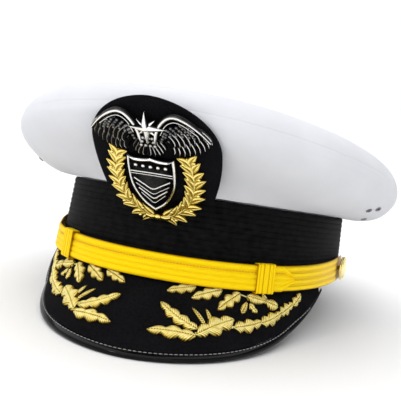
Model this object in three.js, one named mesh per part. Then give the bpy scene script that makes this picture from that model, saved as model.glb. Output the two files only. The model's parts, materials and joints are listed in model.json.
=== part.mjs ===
/**
 * Military peaked cap (officer's combination cap) with a removable white cover.
 *
 * The cap is modelled in its own frame: origin at the centre of the band's lower rim, +Z up the
 * band's axis, -Y to the front and +X to the left of whoever wears it. It is then tipped back
 * until it stands on the visor's edge and the back of the band, as it does on a table, and
 * moved so that its lowest point is at z = 0 and its bounding box is centred in x and y.
 *
 * Every solid that touches another in the real cap stands off it here by a small air gap.
 */
import * as THREE from 'three';
import { mergeVertices } from 'three/addons/utils/BufferGeometryUtils.js';

const { degToRad, lerp, clamp, smoothstep } = THREE.MathUtils;
const V = (x, y, z) => new THREE.Vector3(x, y, z);

// ---- Driving dimensions, in millimetres and degrees ---------------------------------------

const GAP = 0.3;

// Oval band round the head: outside of the ribbed cloth at its lower rim, and how much each
// semi-axis draws in towards the top.
const BAND = { rx: 88.5, ry: 104.4, height: 48, drawIn: 2.36, segments: 72 };
// Its lower edge rises at the temples; the rise dies out at a height above the edge.
const TEMPLE = { from: 44, rise: 9.5, fade: 30 };

// Layers of the band, as offsets outward from the face of the cloth, and heights.
const CLOTH = { inner: -1.5, outer: 0, low: 0.8, high: 48 };
const SHELL = { inner: -3.6, outer: -1.8, low: 0, high: 46.8 };
const SWEATBAND = { inner: -5.2, outer: -4, low: 2.6, high: 37 };
const REED = { offset: -4.7, z: 1.3, radius: 0.9 };
const NECK = { inner: -5.2, outer: -4.2, low: 39, high: 48.3 };

// Widest line of the cover: an oval set forward of the band's, flattened behind the badge.
const RIM = { rx: 117.8, ry: 136.7, y: -12.5, dent: 8.5, dentWidth: 34, z: 70, tilt: 13, saddle: 3 };
const COVER = {
  thickness: 1.2, round: 15, dome: 5, seat: -4.8, z: 48.7,
  frontRise: 60, backRise: -14, frontReach: 20, backReach: 21.4, frontTuck: 10, backTuck: 8.4,
  frontPower: 4.2,
  seamAngle: 15, quarterSteps: 14, wallSteps: 9, topSteps: 7,
};
const HOOP = { radius: 1.4, clearance: 0.5 };
const STAY = { halfAngle: 4.5, from: 0.16, to: 0.78, depth: 1.6, thickness: 0.8 };
const LINING = { depth: 6, thickness: 0.8, reach: 0.94 };
const SHIELD = { depth: 9, thickness: 0.6, reach: 0.5 };
// Each side's eyelets, as angles and shares of the way up the wall.
const EYELET = {
  places: { low: [84, 0.3], front: [75, 0.48], rear: [79, 0.57] },
  outer: 1.9, inner: 0.8, height: 0.7,
};

// Visor: a crescent that leaves the band at a slope, steeper towards its ends.
const VISOR = {
  rootZ: 1.6, rootGap: 0.4, width: 51.6, endAngle: 72.8, taper: 1.5, tipRound: 0.1,
  slope: 46, slopeGain: 67.5, steepest: 70,
};
const BOARD = { depth: 0, thickness: 1.8, end: 64 };
const BOARD_LINING = { depth: 2.1, thickness: 0.8, end: 60 };
const BINDING = { width: 4.6, thickness: 3, centreDepth: 0.9, end: 70, full: 18, thinnest: 0.3 };
const EMBROIDERY = {
  from: 4.5, to: 60, inner: 9, margin: 8, lobes: 9, lobeDepth: 2.6, lift: 0.3, thickness: 0.7,
};

// Badge mount and everything on it share one plane that leans forward over the band.
const PLANE = { y: -116.5, z: 48, lean: 42 };
const MOUNT = {
  halfWidth: 35, halfBase: 31.4, widest: 25.4, height: 58.4, power: 1.84, low: -6.4,
  thickness: 3.6, sagRadius: 116, segments: 40,
};
const BRACKET = { halfWidth: 8, thickness: 0.8, low: 37, bend: 45.5, top: 10, clearance: 0.4 };
const GOLD = { low: 0.6, thickness: 1.6 };
const SILVER = { low: 2.6, thickness: 2.2 };
const POST = { up: 16, radius: 1.4, length: 4.6 };
const WASHER = { radius: 5, thickness: 0.6, clearance: 0.15 };
const NUT = { radius: 4.6, thickness: 2.4, clearance: 0.1, turnGap: 0.3 };

// Chin strap in two overlapping lengths, held together by two keepers.
const STRAP = {
  z: 8.4, rise: 4.6, flick: 6.6, height: 14.2, end: 84, tail: 51, tailRound: 3,
  inner: [2.4, 3.3], outer: [3.7, 4.7], settle: { from: 54, to: 64, drop: 1.3 }, step: 2.8,
};
const KEEPER = { angle: 38.7, halfLength: 4.8, wall: 0.9, clearance: 0.5 };

const BUTTON = { angle: 85.4, z: 17.7, radius: 7.25, from: 3.7, edge: 0.9, dome: 2.5 };
const STUD = { flangeFrom: 0.3, flange: 0.8, flangeRadius: 3.2, radius: 1.3, to: 3.4 };

const MATERIALS = {
  white_cloth: [0xf4f3f1, 0.75, 0], black_mohair: [0x111114, 0.7, 0],
  black_cloth: [0x17171a, 0.85, 0], fibre_board: [0x6a5a45, 0.8, 0],
  brown_leather: [0x6b4326, 0.55, 0], patent_leather: [0x0a0a0b, 0.15, 0],
  bullion_gold: [0xb98b3c, 0.45, 0.7], gold_lace: [0xd79a2b, 0.6, 0.2],
  gilt_metal: [0xd8a640, 0.25, 1], silver_metal: [0xbfc0c2, 0.3, 1],
  steel: [0x8d9094, 0.35, 1], clear_vinyl: [0xd7dde2, 0.2, 0], lining_satin: [0xd9d6cf, 0.5, 0],
};

// ---- Solids from mapped grids --------------------------------------------------------------

/** Welds a geometry's vertices and turns its faces outward. */
function closed(geometry) {
  geometry.deleteAttribute('normal');
  geometry.deleteAttribute('uv');
  const welded = mergeVertices(geometry, 1e-4);
  const p = welded.getAttribute('position');
  const index = welded.getIndex().array;
  const [a, b, c] = [V(), V(), V()];
  let volume = 0;
  for (let i = 0; i < index.length; i += 3) {
    [a, b, c].forEach((v, k) => v.fromBufferAttribute(p, index[i + k]));
    volume += a.dot(b.clone().cross(c));
  }
  if (volume < 0) {
    for (let i = 0; i < index.length; i += 3) {
      [index[i], index[i + 1]] = [index[i + 1], index[i]];
    }
  }
  welded.computeVertexNormals();
  return welded;
}

/** A slab: a box cut into cells whose corners place(u, v, w) moves, u, v and w being 0 to 1. */
function slab(cellsU, cellsV, place, cellsW = 1) {
  const geometry = new THREE.BoxGeometry(1, 1, 1, cellsU, cellsV, cellsW);
  const p = geometry.getAttribute('position');
  for (let i = 0; i < p.count; i += 1) {
    const q = place(p.getX(i) + 0.5, p.getY(i) + 0.5, p.getZ(i) + 0.5);
    p.setXYZ(i, q.x, q.y, q.z);
  }
  return closed(geometry);
}

/**
 * A solid of `count` sections joined all the way round. A section is a closed loop of points,
 * or, with `poles`, an open line whose first and last points are the same in every section.
 */
function around(count, section, poles = false) {
  const rows = Array.from({ length: count }, (_, i) => section(i / count));
  const size = rows[0].length;
  const steps = poles ? size - 1 : size;
  const index = [];
  for (let i = 0; i < count; i += 1) {
    const next = (i + 1) % count;
    for (let j = 0; j < steps; j += 1) {
      const k = (j + 1) % size;
      const [a, b, c, d] = [[i, j], [next, j], [next, k], [i, k]].map(([r, s]) => r * size + s);
      if (!poles || j > 0) index.push(a, b, c);
      if (!poles || j < steps - 1) index.push(a, c, d);
    }
  }
  const geometry = new THREE.BufferGeometry();
  geometry.setAttribute('position', new THREE.Float32BufferAttribute(
    rows.flat().flatMap((q) => q.toArray()), 3));
  geometry.setIndex(index);
  return closed(geometry);
}

/** A closed loop of points on a circle in the plane of two directions. */
function circle(centre, across, along, radius, count) {
  return Array.from({ length: count }, (_, i) => {
    const a = (2 * Math.PI * i) / count;
    return centre.clone().addScaledVector(across, radius * Math.cos(a))
      .addScaledVector(along, radius * Math.sin(a));
  });
}

/** A turned solid: profile points [radius, height] about an axis through `base`. */
function turned(profile, base, axis, count = 24) {
  const points = profile.map(([r, h]) => new THREE.Vector2(r, h));
  const geometry = new THREE.LatheGeometry(points, count);
  const turn = new THREE.Quaternion().setFromUnitVectors(V(0, 1, 0), axis);
  geometry.applyQuaternion(turn).translate(base.x, base.y, base.z);
  return closed(dropSlivers(geometry));
}

/** Removes the empty triangles that a turned profile leaves on its axis. */
function dropSlivers(geometry) {
  const p = geometry.getAttribute('position');
  const index = Array.from(geometry.getIndex().array);
  const kept = [];
  for (let i = 0; i < index.length; i += 3) {
    const [a, b, c] = index.slice(i, i + 3).map((k) => V().fromBufferAttribute(p, k));
    const area = b.sub(a).cross(c.sub(a)).length();
    if (area > 1e-7) kept.push(...index.slice(i, i + 3));
  }
  geometry.setIndex(kept);
  return geometry;
}

// ---- Band -----------------------------------------------------------------------------------

/** A point on the band; theta runs from the front towards +X, offset is outward. */
function bandPoint(theta, z, offset = 0) {
  const off = offset - (BAND.drawIn * z) / BAND.height;
  return V((BAND.rx + off) * Math.sin(theta), -(BAND.ry + off) * Math.cos(theta), z);
}

/** The band's horizontal outward direction. */
function bandNormal(theta) {
  return V(Math.sin(theta) / BAND.rx, -Math.cos(theta) / BAND.ry, 0).normalize();
}

/** How far the band's lower edge has risen at an angle, for a point that height above it. */
function templeRise(theta, z = 0) {
  const fromEnds = Math.acos(Math.abs(Math.cos(theta)));
  const share = smoothstep(fromEnds, degToRad(TEMPLE.from), Math.PI / 2);
  return TEMPLE.rise * share * Math.max(0, 1 - z / TEMPLE.fade);
}

/** A wall of the band between two offsets and two heights. */
function bandRing({ inner, outer, low, high }) {
  return around(BAND.segments, (t) => {
    const theta = 2 * Math.PI * t;
    return [[inner, low], [outer, low], [outer, high], [inner, high]]
      .map(([offset, z]) => bandPoint(theta, z + templeRise(theta, z), offset));
  });
}

/** The rounded cord along the sweatband's lower edge. */
function reedRing() {
  return around(BAND.segments, (t) => {
    const theta = 2 * Math.PI * t;
    const z = REED.z + templeRise(theta, REED.z);
    return circle(bandPoint(theta, z, REED.offset), bandNormal(theta), V(0, 0, 1), REED.radius, 6);
  });
}

// ---- Cover ----------------------------------------------------------------------------------

/** Plan and height of the cover's widest line. */
function rimPoint(theta) {
  const turn = (2 * Math.sin(theta / 2)) / degToRad(RIM.dentWidth);
  const dent = RIM.dent * Math.exp(-turn * turn);
  return V(RIM.rx * Math.sin(theta), RIM.y - (RIM.ry - dent) * Math.cos(theta),
    RIM.z + RIM.tilt * Math.cos(theta) + RIM.saddle * Math.cos(2 * theta));
}

/** The cover's outline at one angle: where it leaves the band, which way, and how far. */
function coverSpan(theta) {
  const foot = bandPoint(theta, COVER.z);
  const rim = rimPoint(theta);
  const out = V(rim.x - foot.x, rim.y - foot.y, 0);
  const span = out.length();
  return { foot, out: out.normalize(), span, rimZ: rim.z };
}

/** Rise of the top where it meets the rounded rim, so that the two run on smoothly. */
function topSlope(theta, reach) {
  const fall = RIM.tilt * Math.cos(theta) + 2 * RIM.saddle * Math.cos(2 * theta) - 2 * COVER.dome;
  return Math.atan2(-fall, reach);
}

/** How far the rounded rim turns at an angle, counted from the widest line. */
function roundEnd(theta) {
  const rim = rimPoint(theta);
  const reach = Math.hypot(rim.x, rim.y - RIM.y) - COVER.round;
  return Math.PI / 2 - topSlope(theta, reach);
}

/** Outward distance and height on the cover's side wall, from the band (0) to the rim (1). */
function wallProfile(theta, t) {
  const { span, rimZ } = coverSpan(theta);
  const front = ((1 + Math.cos(theta)) / 2) ** COVER.frontPower;
  const rise = degToRad(lerp(COVER.backRise, COVER.frontRise, front));
  const reach = lerp(COVER.backReach, COVER.frontReach, front);
  const tuck = lerp(COVER.backTuck, COVER.frontTuck, front);
  const path = new THREE.CubicBezierCurve(
    new THREE.Vector2(0, COVER.z),
    new THREE.Vector2(reach * Math.cos(rise), COVER.z + reach * Math.sin(rise)),
    new THREE.Vector2(span, rimZ - tuck),
    new THREE.Vector2(span, rimZ),
  );
  return path.getPoint(t);
}

/** Outward distance and height on the rounded rim; phi counts up from the widest line. */
function roundProfile(theta, phi) {
  const { span, rimZ } = coverSpan(theta);
  return new THREE.Vector2(span - COVER.round * (1 - Math.cos(phi)),
    rimZ + COVER.round * Math.sin(phi));
}

/** Puts a profile point, moved `depth` along its inward normal, at its angle. */
function onCover(theta, profile, t, depth) {
  const { foot, out } = coverSpan(theta);
  const at = profile(theta, t);
  const step = 1e-3;
  const before = profile(theta, Math.max(t - step, 0));
  const along = profile(theta, t + step).sub(before).normalize();
  const r = at.x - along.y * depth;
  const z = at.y + along.x * depth;
  return V(foot.x + out.x * r, foot.y + out.y * r, z);
}

/** The cover's wall from its seat over the band, up to the seam above the widest line. */
function quarterPoint(theta, v, depth) {
  const seatShare = 0.1;
  const wallShare = 0.86;
  if (v < seatShare) {
    const { foot, out } = coverSpan(theta);
    const r = lerp(COVER.seat, 0, v / seatShare);
    return V(foot.x + out.x * r, foot.y + out.y * r, COVER.z + depth);
  }
  if (v < wallShare) return onCover(theta, wallProfile, (v - seatShare) / (wallShare - seatShare), depth);
  const phi = ((v - wallShare) / (1 - wallShare)) * degToRad(COVER.seamAngle);
  return onCover(theta, roundProfile, phi, depth);
}

/** One of the four side panels; they meet at the front, the back and both sides. */
function quarter(number) {
  const edge = 2 * GAP / BAND.rx;
  const from = (number * Math.PI) / 2 + edge;
  const to = ((number + 1) * Math.PI) / 2 - edge;
  return slab(COVER.quarterSteps, COVER.wallSteps + 2, (u, v, w) =>
    quarterPoint(lerp(from, to, u), v, w * COVER.thickness));
}

/** The top inside the rounded rim; s is 0 at the middle and 1 where the rounding ends. */
function topPoint(theta, s, depth) {
  const end = roundEnd(theta);
  const edge = onCover(theta, roundProfile, end, 0);
  const drop = COVER.round * (1 - Math.sin(end));
  const z = RIM.z + COVER.round + RIM.tilt * s * Math.cos(theta)
    + RIM.saddle * s * s * Math.cos(2 * theta) + COVER.dome * (1 - s * s) - drop * s ** 4;
  return V(edge.x * s, lerp(RIM.y, edge.y, s), z - depth);
}

/** The top panel, from the middle over the rounded rim to the seam. */
function topPanel() {
  const seam = degToRad(COVER.seamAngle) + (2 * GAP) / COVER.round;
  const flat = Array.from({ length: COVER.topSteps }, (_, i) => i / COVER.topSteps);
  const bend = [1, 0.66, 0.33, 0];
  return around(BAND.segments, (t) => {
    const theta = 2 * Math.PI * t;
    const end = roundEnd(theta);
    const face = (depth) => [
      ...flat.map((s) => topPoint(theta, s, depth)),
      ...bend.map((k) => onCover(theta, roundProfile, lerp(seam, end, k), depth)),
    ];
    return [...face(0), ...face(COVER.thickness).reverse()];
  }, true);
}

/** A thin sheet under the top panel, out to a share of its reach. */
function underTop({ depth, thickness, reach }, steps, count) {
  return around(count, (t) => {
    const theta = 2 * Math.PI * t;
    const line = (d) => Array.from({ length: steps + 1 }, (_, i) =>
      topPoint(theta, (reach * i) / steps, d));
    return [...line(depth), ...line(depth + thickness).reverse()];
  }, true);
}

/** The spring hoop that keeps the cover stretched, just inside its widest line. */
function hoop() {
  return around(64, (t) => {
    const theta = 2 * Math.PI * t;
    const { out } = coverSpan(theta);
    const depth = COVER.thickness + HOOP.clearance + HOOP.radius;
    return circle(onCover(theta, roundProfile, 0, depth), out, V(0, 0, 1), HOOP.radius, 6);
  });
}

/** The springy strip that holds the front of the cover up. */
function stay() {
  const half = degToRad(STAY.halfAngle);
  return slab(4, 8, (u, v, w) => onCover(lerp(-half, half, u), wallProfile,
    lerp(STAY.from, STAY.to, v), STAY.depth + w * STAY.thickness));
}

/** A small ventilation eyelet set in the underside of the cover. */
function eyelet(theta, along) {
  const at = onCover(theta, wallProfile, along, -GAP);
  const axis = at.clone().sub(onCover(theta, wallProfile, along, 0)).normalize();
  const { inner, outer, height } = EYELET;
  const mid = (inner + outer) / 2;
  return turned([[inner, 0], [outer, 0], [mid, height], [inner, 0]], at, axis, 16);
}

// ---- Visor ----------------------------------------------------------------------------------

/** Distance from the band to the visor's edge, measured down the slope. */
function visorWidth(theta) {
  const r = Math.min(Math.abs(theta) / degToRad(VISOR.endAngle), 1);
  const bend = (x) => (x * x + VISOR.tipRound ** 2) ** (VISOR.taper / 2) - VISOR.tipRound ** VISOR.taper;
  return VISOR.width * (1 - bend(r) / bend(1));
}

/** The visor's slope below the horizontal. */
function visorSlope(theta) {
  const slope = VISOR.slope + VISOR.slopeGain * (1 - Math.cos(theta));
  return degToRad(Math.min(slope, VISOR.steepest));
}

/** How far down the slope a layer of the visor may start and still stand clear of the band. */
function visorRoot(theta, depth) {
  const slope = visorSlope(theta);
  return Math.max((depth * Math.sin(slope) + GAP - VISOR.rootGap) / Math.cos(slope), 0);
}

/** A point of the visor's upper face, s down the slope from the band, or below it by depth. */
function visorPoint(theta, s, depth = 0) {
  const face = (th, d) => {
    const slope = visorSlope(th);
    const root = bandPoint(th, 0, VISOR.rootGap);
    const n = bandNormal(th);
    return V(root.x + n.x * d * Math.cos(slope), root.y + n.y * d * Math.cos(slope),
      VISOR.rootZ + templeRise(th) - d * Math.sin(slope));
  };
  const step = 1e-3;
  const at = face(theta, s);
  const across = face(theta + step, s).sub(face(theta - step, s));
  const down = face(theta, s + step * 10).sub(face(theta, s - step * 10));
  const normal = down.cross(across).normalize();
  return at.addScaledVector(normal, -depth);
}

/** A layer of the visor between two depths, stopping short of the edge binding. */
function visorLayer({ depth, thickness, end: endAngle }) {
  const end = degToRad(endAngle);
  return slab(30, 6, (u, v, w) => {
    const theta = lerp(-end, end, u);
    const edge = visorWidth(theta) - BINDING.width - GAP;
    const root = visorRoot(theta, depth + thickness);
    return visorPoint(theta, lerp(root, edge, v), depth + w * thickness);
  });
}

/** The rounded patent binding round the visor's edge. */
function visorBinding() {
  const end = degToRad(BINDING.end);
  const corners = [[0, -0.25], [0.25, -0.5], [0.75, -0.5], [1, -0.25],
    [1, 0.25], [0.75, 0.5], [0.25, 0.5], [0, 0.25]];
  const count = 48;
  const rows = Array.from({ length: count + 1 }, (_, i) => {
    const theta = lerp(-end, end, i / count);
    const edge = visorWidth(theta);
    const width = Math.min(BINDING.width, edge - GAP);
    const share = clamp(edge / BINDING.full, BINDING.thinnest, 1);
    const root = visorRoot(theta, share * (BINDING.centreDepth + BINDING.thickness / 2));
    return corners.map(([along, deep]) => visorPoint(theta,
      Math.max(edge - width * (1 - along), root + along * GAP),
      share * (BINDING.centreDepth + deep * BINDING.thickness)));
  });
  return rod(rows);
}

/** A solid of sections joined in a row, with its two ends closed. */
function rod(rows) {
  const size = rows[0].length;
  const ends = [rows[0], rows[rows.length - 1]];
  const centres = ends.map((row) =>
    row.reduce((sum, q) => sum.add(q), V(0, 0, 0)).divideScalar(size));
  const points = [...rows.flat(), ...centres];
  const index = [];
  for (let i = 0; i < rows.length - 1; i += 1) {
    for (let j = 0; j < size; j += 1) {
      const k = (j + 1) % size;
      const [a, b, c, d] = [i * size + j, (i + 1) * size + j, (i + 1) * size + k, i * size + k];
      index.push(a, b, c, a, c, d);
    }
  }
  const last = (rows.length - 1) * size;
  for (let j = 0; j < size; j += 1) {
    const k = (j + 1) % size;
    index.push(rows.length * size, j, k, rows.length * size + 1, last + k, last + j);
  }
  const geometry = new THREE.BufferGeometry();
  geometry.setAttribute('position', new THREE.Float32BufferAttribute(
    points.flatMap((q) => q.toArray()), 3));
  geometry.setIndex(index);
  return closed(geometry);
}

/** One spray of embroidered leaves, from near the middle out to the visor's end. */
function embroidery(side) {
  const e = EMBROIDERY;
  const lobe = (u) => Math.abs(Math.sin(Math.PI * e.lobes * u)) * e.lobeDepth;
  return slab(36, 3, (u, v, w) => {
    const theta = degToRad(lerp(e.from, e.to, u));
    const high = Math.max(visorWidth(theta) - BINDING.width - e.margin + lobe(u), 0);
    const low = Math.min(e.inner - lobe(u + 1 / (2 * e.lobes)), high * 0.5);
    return visorPoint(side * theta, lerp(low, high, v), -e.lift - w * e.thickness);
  });
}

// ---- Badge ----------------------------------------------------------------------------------

const lean = degToRad(PLANE.lean);
const planeUp = V(0, -Math.sin(lean), Math.cos(lean));
const planeOut = V(0, -Math.cos(lean), -Math.sin(lean));

/** A point of the badge plane: x across, up along its lean, out towards the viewer. */
function onPlane(x, up, out) {
  return V(x, PLANE.y, PLANE.z).addScaledVector(planeUp, up).addScaledVector(planeOut, out);
}

/** The mount's egg-shaped outline, a flat base and a full rounded head. */
function mountOutline() {
  const { halfWidth, halfBase, widest, height, power, low, segments } = MOUNT;
  const head = segments / 2;
  const side = 6;
  const right = [];
  for (let i = 0; i < side; i += 1) {
    const up = lerp(low, widest, i / side);
    right.push([halfWidth - (halfWidth - halfBase) * ((widest - up) / widest) ** 2, up]);
  }
  for (let i = 0; i <= head; i += 1) {
    const a = (Math.PI / 2) * (i / head);
    right.push([halfWidth * Math.cos(a) ** (2 / power),
      widest + (height - widest) * Math.sin(a) ** (2 / power)]);
  }
  const left = right.slice(0, -1).reverse().map(([x, up]) => [-x, up]);
  const base = [-0.6, -0.2, 0.2, 0.6].map((k) => [k * right[0][0], low]);
  return [...right, ...left, ...base];
}

/** The padded, cloth-covered mount, curved back at its sides with the front of the cover. */
function mount() {
  const { widest, thickness, sagRadius } = MOUNT;
  const outline = mountOutline();
  const levels = [[0, 0], [0.5, 0], [0.85, -0.25], [1, -1]];
  const sag = (x) => sagRadius - Math.sqrt(sagRadius ** 2 - x * x);
  const place = ([x, up], share, depth) => {
    const across = x * share;
    return onPlane(across, lerp(widest, up, share), -depth - sag(across) * Math.cos(lean));
  };
  return around(outline.length, (t) => {
    const edge = outline[Math.round(t * outline.length)];
    return [...levels.map(([share, puff]) => place(edge, share, -puff)),
      ...[1, 0.5, 0].map((share) => place(edge, share, thickness))];
  }, true);
}

/** The bent metal tongue that carries the mount from the front of the band. */
function bracket() {
  const { halfWidth, thickness, low, bend, top, clearance } = BRACKET;
  const back = -MOUNT.thickness - clearance;
  const path = [bandPoint(0, low, GAP + thickness), bandPoint(0, bend, GAP + thickness),
    onPlane(0, 4, back), onPlane(0, top, back)];
  const inward = [V(0, 1, 0), V(0, 1, 0), planeOut.clone().negate(), planeOut.clone().negate()];
  return slab(2, 3, (u, v, w) => {
    const k = Math.round(v * 3);
    const x = lerp(-halfWidth, halfWidth, u);
    const curve = k < 2 ? BAND.ry * (1 - Math.sqrt(1 - (x / BAND.rx) ** 2)) : 0;
    return path[k].clone().addScaledVector(inward[k], w * thickness).add(V(x, curve, 0));
  });
}

/** A flat plate of the badge: half an outline, mirrored, with its thickness along the plane. */
function badgePlate(half, { low, thickness }) {
  const mirrored = half.slice().reverse().filter(([x]) => x > 0).map(([x, up]) => [-x, up]);
  const shape = new THREE.Shape([...half, ...mirrored].map(([x, y]) => new THREE.Vector2(x, y)));
  const geometry = new THREE.ExtrudeGeometry(shape, { depth: thickness, bevelEnabled: false });
  const frame = new THREE.Matrix4().makeBasis(V(1, 0, 0), planeUp, planeOut.clone().negate());
  geometry.translate(0, 0, -low - thickness).applyMatrix4(frame);
  geometry.translate(0, PLANE.y, PLANE.z);
  return closed(geometry);
}

// Laurel branches crossed at the foot and open at the top: outer edge, then inner edge.
const LAUREL = [
  [0, -19], [6, -20], [11, -17.5], [16, -18], [18.5, -12.5], [23, -10.5], [23.6, -5], [27, -2],
  [26.5, 4], [28.8, 8.5], [26.6, 13], [27.6, 19], [23.5, 25], [18.5, 20.5], [20, 14.5], [16.8, 11],
  [19, 5], [15.5, 0.5], [13.5, -5], [9.5, -8.5], [5, -12], [0, -13.5],
];
// Star, spread wings and shield in one outline, from the top of the star down to the point.
const WINGS = [
  [0, 53], [2.2, 46.5], [6, 46], [12.5, 51], [19, 48.5], [25.5, 44], [31, 36.5], [27.5, 33],
  [23.2, 30.5], [18, 28], [12.8, 27.5], [13, 23.5], [12.6, 12], [10, 2.5], [5.3, -5.8], [0, -10],
];

/** Metal fittings behind the mount, on the post that holds the badge. */
const postFoot = onPlane(0, POST.up, -MOUNT.thickness - GAP);
const postAxis = planeOut.clone().negate();

function ringProfile(inner, outer, height) {
  return [[inner, 0], [outer, 0], [outer, height], [inner, height], [inner, 0]];
}

// ---- Chin strap -----------------------------------------------------------------------------

/** Height of the strap's middle above the band's lower rim. */
function strapZ(theta) {
  const c = 1 - Math.cos(theta);
  return STRAP.z + STRAP.rise * c + STRAP.flick * c * c;
}

/** One length of the strap, square at its button end and pointed at the other. Past the end of
 * the other length it settles closer to the band by `drop`. */
function strapLength(side, [near, far], drop) {
  const { settle } = STRAP;
  const end = degToRad(STRAP.end) * side;
  const tail = -degToRad(STRAP.tail) * side;
  const cells = Math.round((STRAP.end + STRAP.tail) / STRAP.step);
  return slab(cells, 2, (u, v, w) => {
    const theta = lerp(end, tail, u);
    const left = Math.abs(theta - tail) * BAND.rx;
    const narrow = clamp(left / (STRAP.height / 2), 0, 1);
    const half = (STRAP.height / 2) * lerp(STRAP.tailRound / STRAP.height, 1, narrow);
    const settled = smoothstep(side * theta, degToRad(settle.from), degToRad(settle.to));
    return bandPoint(theta, strapZ(theta) + (v - 0.5) * 2 * half, lerp(near, far, w) - drop * settled);
  });
}

/** A loop round both lengths of the strap. */
function keeper(side) {
  const theta = side * degToRad(KEEPER.angle);
  const centre = bandPoint(theta, strapZ(theta));
  const normal = bandNormal(theta);
  const along = bandPoint(theta + 0.01, strapZ(theta + 0.01))
    .sub(bandPoint(theta - 0.01, strapZ(theta - 0.01))).normalize();
  const up = normal.clone().cross(along).normalize();
  if (up.z < 0) up.negate();
  const { clearance: c, wall, halfLength } = KEEPER;
  const [near, far] = [STRAP.inner[0] - c, STRAP.outer[1] + c];
  const half = STRAP.height / 2 + c;
  const corners = [[near, -half, -1, -1], [far, -half, 1, -1], [far, half, 1, 1], [near, half, -1, 1]];
  return around(corners.length, (t) => {
    const [out, high, growOut, growUp] = corners[Math.round(t * corners.length)];
    return [[0, -1], [0, 1], [wall, 1], [wall, -1]].map(([grow, end]) => centre.clone()
      .addScaledVector(normal, out + grow * growOut)
      .addScaledVector(up, high + grow * growUp)
      .addScaledVector(along, end * halfLength));
  });
}

// ---- Side buttons ---------------------------------------------------------------------------

/** The domed button itself. */
function button(side) {
  const theta = side * degToRad(BUTTON.angle);
  const { radius, from, edge, dome } = BUTTON;
  const steps = 5;
  const cap = Array.from({ length: steps }, (_, i) => {
    const a = (Math.PI / 2) * ((i + 1) / steps);
    return [radius * Math.cos(a), edge + dome * Math.sin(a)];
  });
  cap[steps - 1][0] = 0;
  return turned([[0, 0], [radius - edge / 2, 0], [radius, edge / 2], [radius, edge], ...cap],
    bandPoint(theta, BUTTON.z, from), bandNormal(theta));
}

/** The stud that the button turns on, with its flange against the band. */
function stud(side) {
  const theta = side * degToRad(BUTTON.angle);
  const { flangeFrom, flange, flangeRadius, radius, to } = STUD;
  return turned([[0, 0], [flangeRadius, 0], [flangeRadius, flange], [radius, flange],
    [radius, to - flangeFrom], [0, to - flangeFrom]],
  bandPoint(theta, BUTTON.z, flangeFrom), bandNormal(theta));
}

// ---- The cap --------------------------------------------------------------------------------

const cap = new THREE.Group();
cap.name = 'peaked_cap';

function add(name, material, geometry) {
  const [color, roughness, metalness] = MATERIALS[material];
  const mesh = new THREE.Mesh(geometry,
    new THREE.MeshStandardMaterial({ name: material, color, roughness, metalness }));
  mesh.name = name;
  cap.add(mesh);
}

add('frame_shell', 'fibre_board', bandRing(SHELL));
add('mohair_band', 'black_mohair', bandRing(CLOTH));
add('sweatband', 'brown_leather', bandRing(SWEATBAND));
add('sweatband_reed', 'brown_leather', reedRing());

add('visor_board', 'black_cloth', visorLayer(BOARD));
add('visor_lining', 'black_cloth', visorLayer(BOARD_LINING));
add('visor_binding', 'patent_leather', visorBinding());

add('badge_mount', 'black_cloth', mount());
add('mount_bracket', 'steel', bracket());
add('badge_laurel', 'gilt_metal', badgePlate(LAUREL, GOLD));
add('badge_wings', 'silver_metal', badgePlate(WINGS, SILVER));
add('badge_post', 'gilt_metal', turned([[0, 0], [POST.radius, 0], [POST.radius, POST.length],
  [0, POST.length]], postFoot, postAxis, 16));
add('badge_washer', 'steel', turned(
  ringProfile(POST.radius + WASHER.clearance, WASHER.radius, WASHER.thickness),
  postFoot, postAxis));
add('badge_nut', 'gilt_metal', turned(
  ringProfile(POST.radius + NUT.clearance, NUT.radius, NUT.thickness),
  postFoot.clone().addScaledVector(postAxis, WASHER.thickness + NUT.turnGap), postAxis));

for (const [side, name] of [[1, 'left'], [-1, 'right']]) {
  add(`embroidery_${name}`, 'bullion_gold', embroidery(side));
  add(`button_stud_${name}`, 'gilt_metal', stud(side));
  add(`button_${name}`, 'gilt_metal', button(side));
  add(`strap_keeper_${name}`, 'gold_lace', keeper(side));
}
add('strap_inner', 'gold_lace', strapLength(1, STRAP.inner, 0));
add('strap_outer', 'gold_lace', strapLength(-1, STRAP.outer, STRAP.settle.drop));

['front_left', 'rear_left', 'rear_right', 'front_right'].forEach((name, number) => {
  add(`cover_quarter_${name}`, 'white_cloth', quarter(number));
});
add('cover_top', 'white_cloth', topPanel());
add('cover_neck', 'white_cloth', bandRing(NECK));
add('cover_hoop', 'steel', hoop());
add('cover_stay', 'steel', stay());
add('cover_lining', 'lining_satin', underTop(LINING, 4, 40));
add('cover_sweat_shield', 'clear_vinyl', underTop(SHIELD, 3, 32));
for (const [side, name] of [[1, 'left'], [-1, 'right']]) {
  for (const [place, [angle, along]] of Object.entries(EYELET.places)) {
    add(`cover_eyelet_${name}_${place}`, 'black_cloth', eyelet(side * degToRad(angle), along));
  }
}

// ---- Standing the cap up --------------------------------------------------------------------

/** Lowest height of a mesh, or its reach, once the cap is tipped back by an angle. */
function tippedBox(meshes, pitch) {
  const turn = new THREE.Matrix4().makeRotationX(-pitch);
  const box = new THREE.Box3();
  const q = V(0, 0, 0);
  for (const mesh of meshes) {
    const p = mesh.geometry.getAttribute('position');
    for (let i = 0; i < p.count; i += 1) {
      box.expandByPoint(q.fromBufferAttribute(p, i).applyMatrix4(turn));
    }
  }
  return box;
}

/** The tip at which the visor's edge and the back of the band are equally low. */
function restingPitch() {
  const lowest = (names, pitch) =>
    tippedBox(names.map((name) => cap.getObjectByName(name)), pitch).min.z;
  let [low, high] = [0, degToRad(20)];
  for (let i = 0; i < 40; i += 1) {
    const middle = (low + high) / 2;
    if (lowest(['visor_binding'], middle) < lowest(['frame_shell', 'mohair_band'], middle)) {
      low = middle;
    } else {
      high = middle;
    }
  }
  return low;
}

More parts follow.
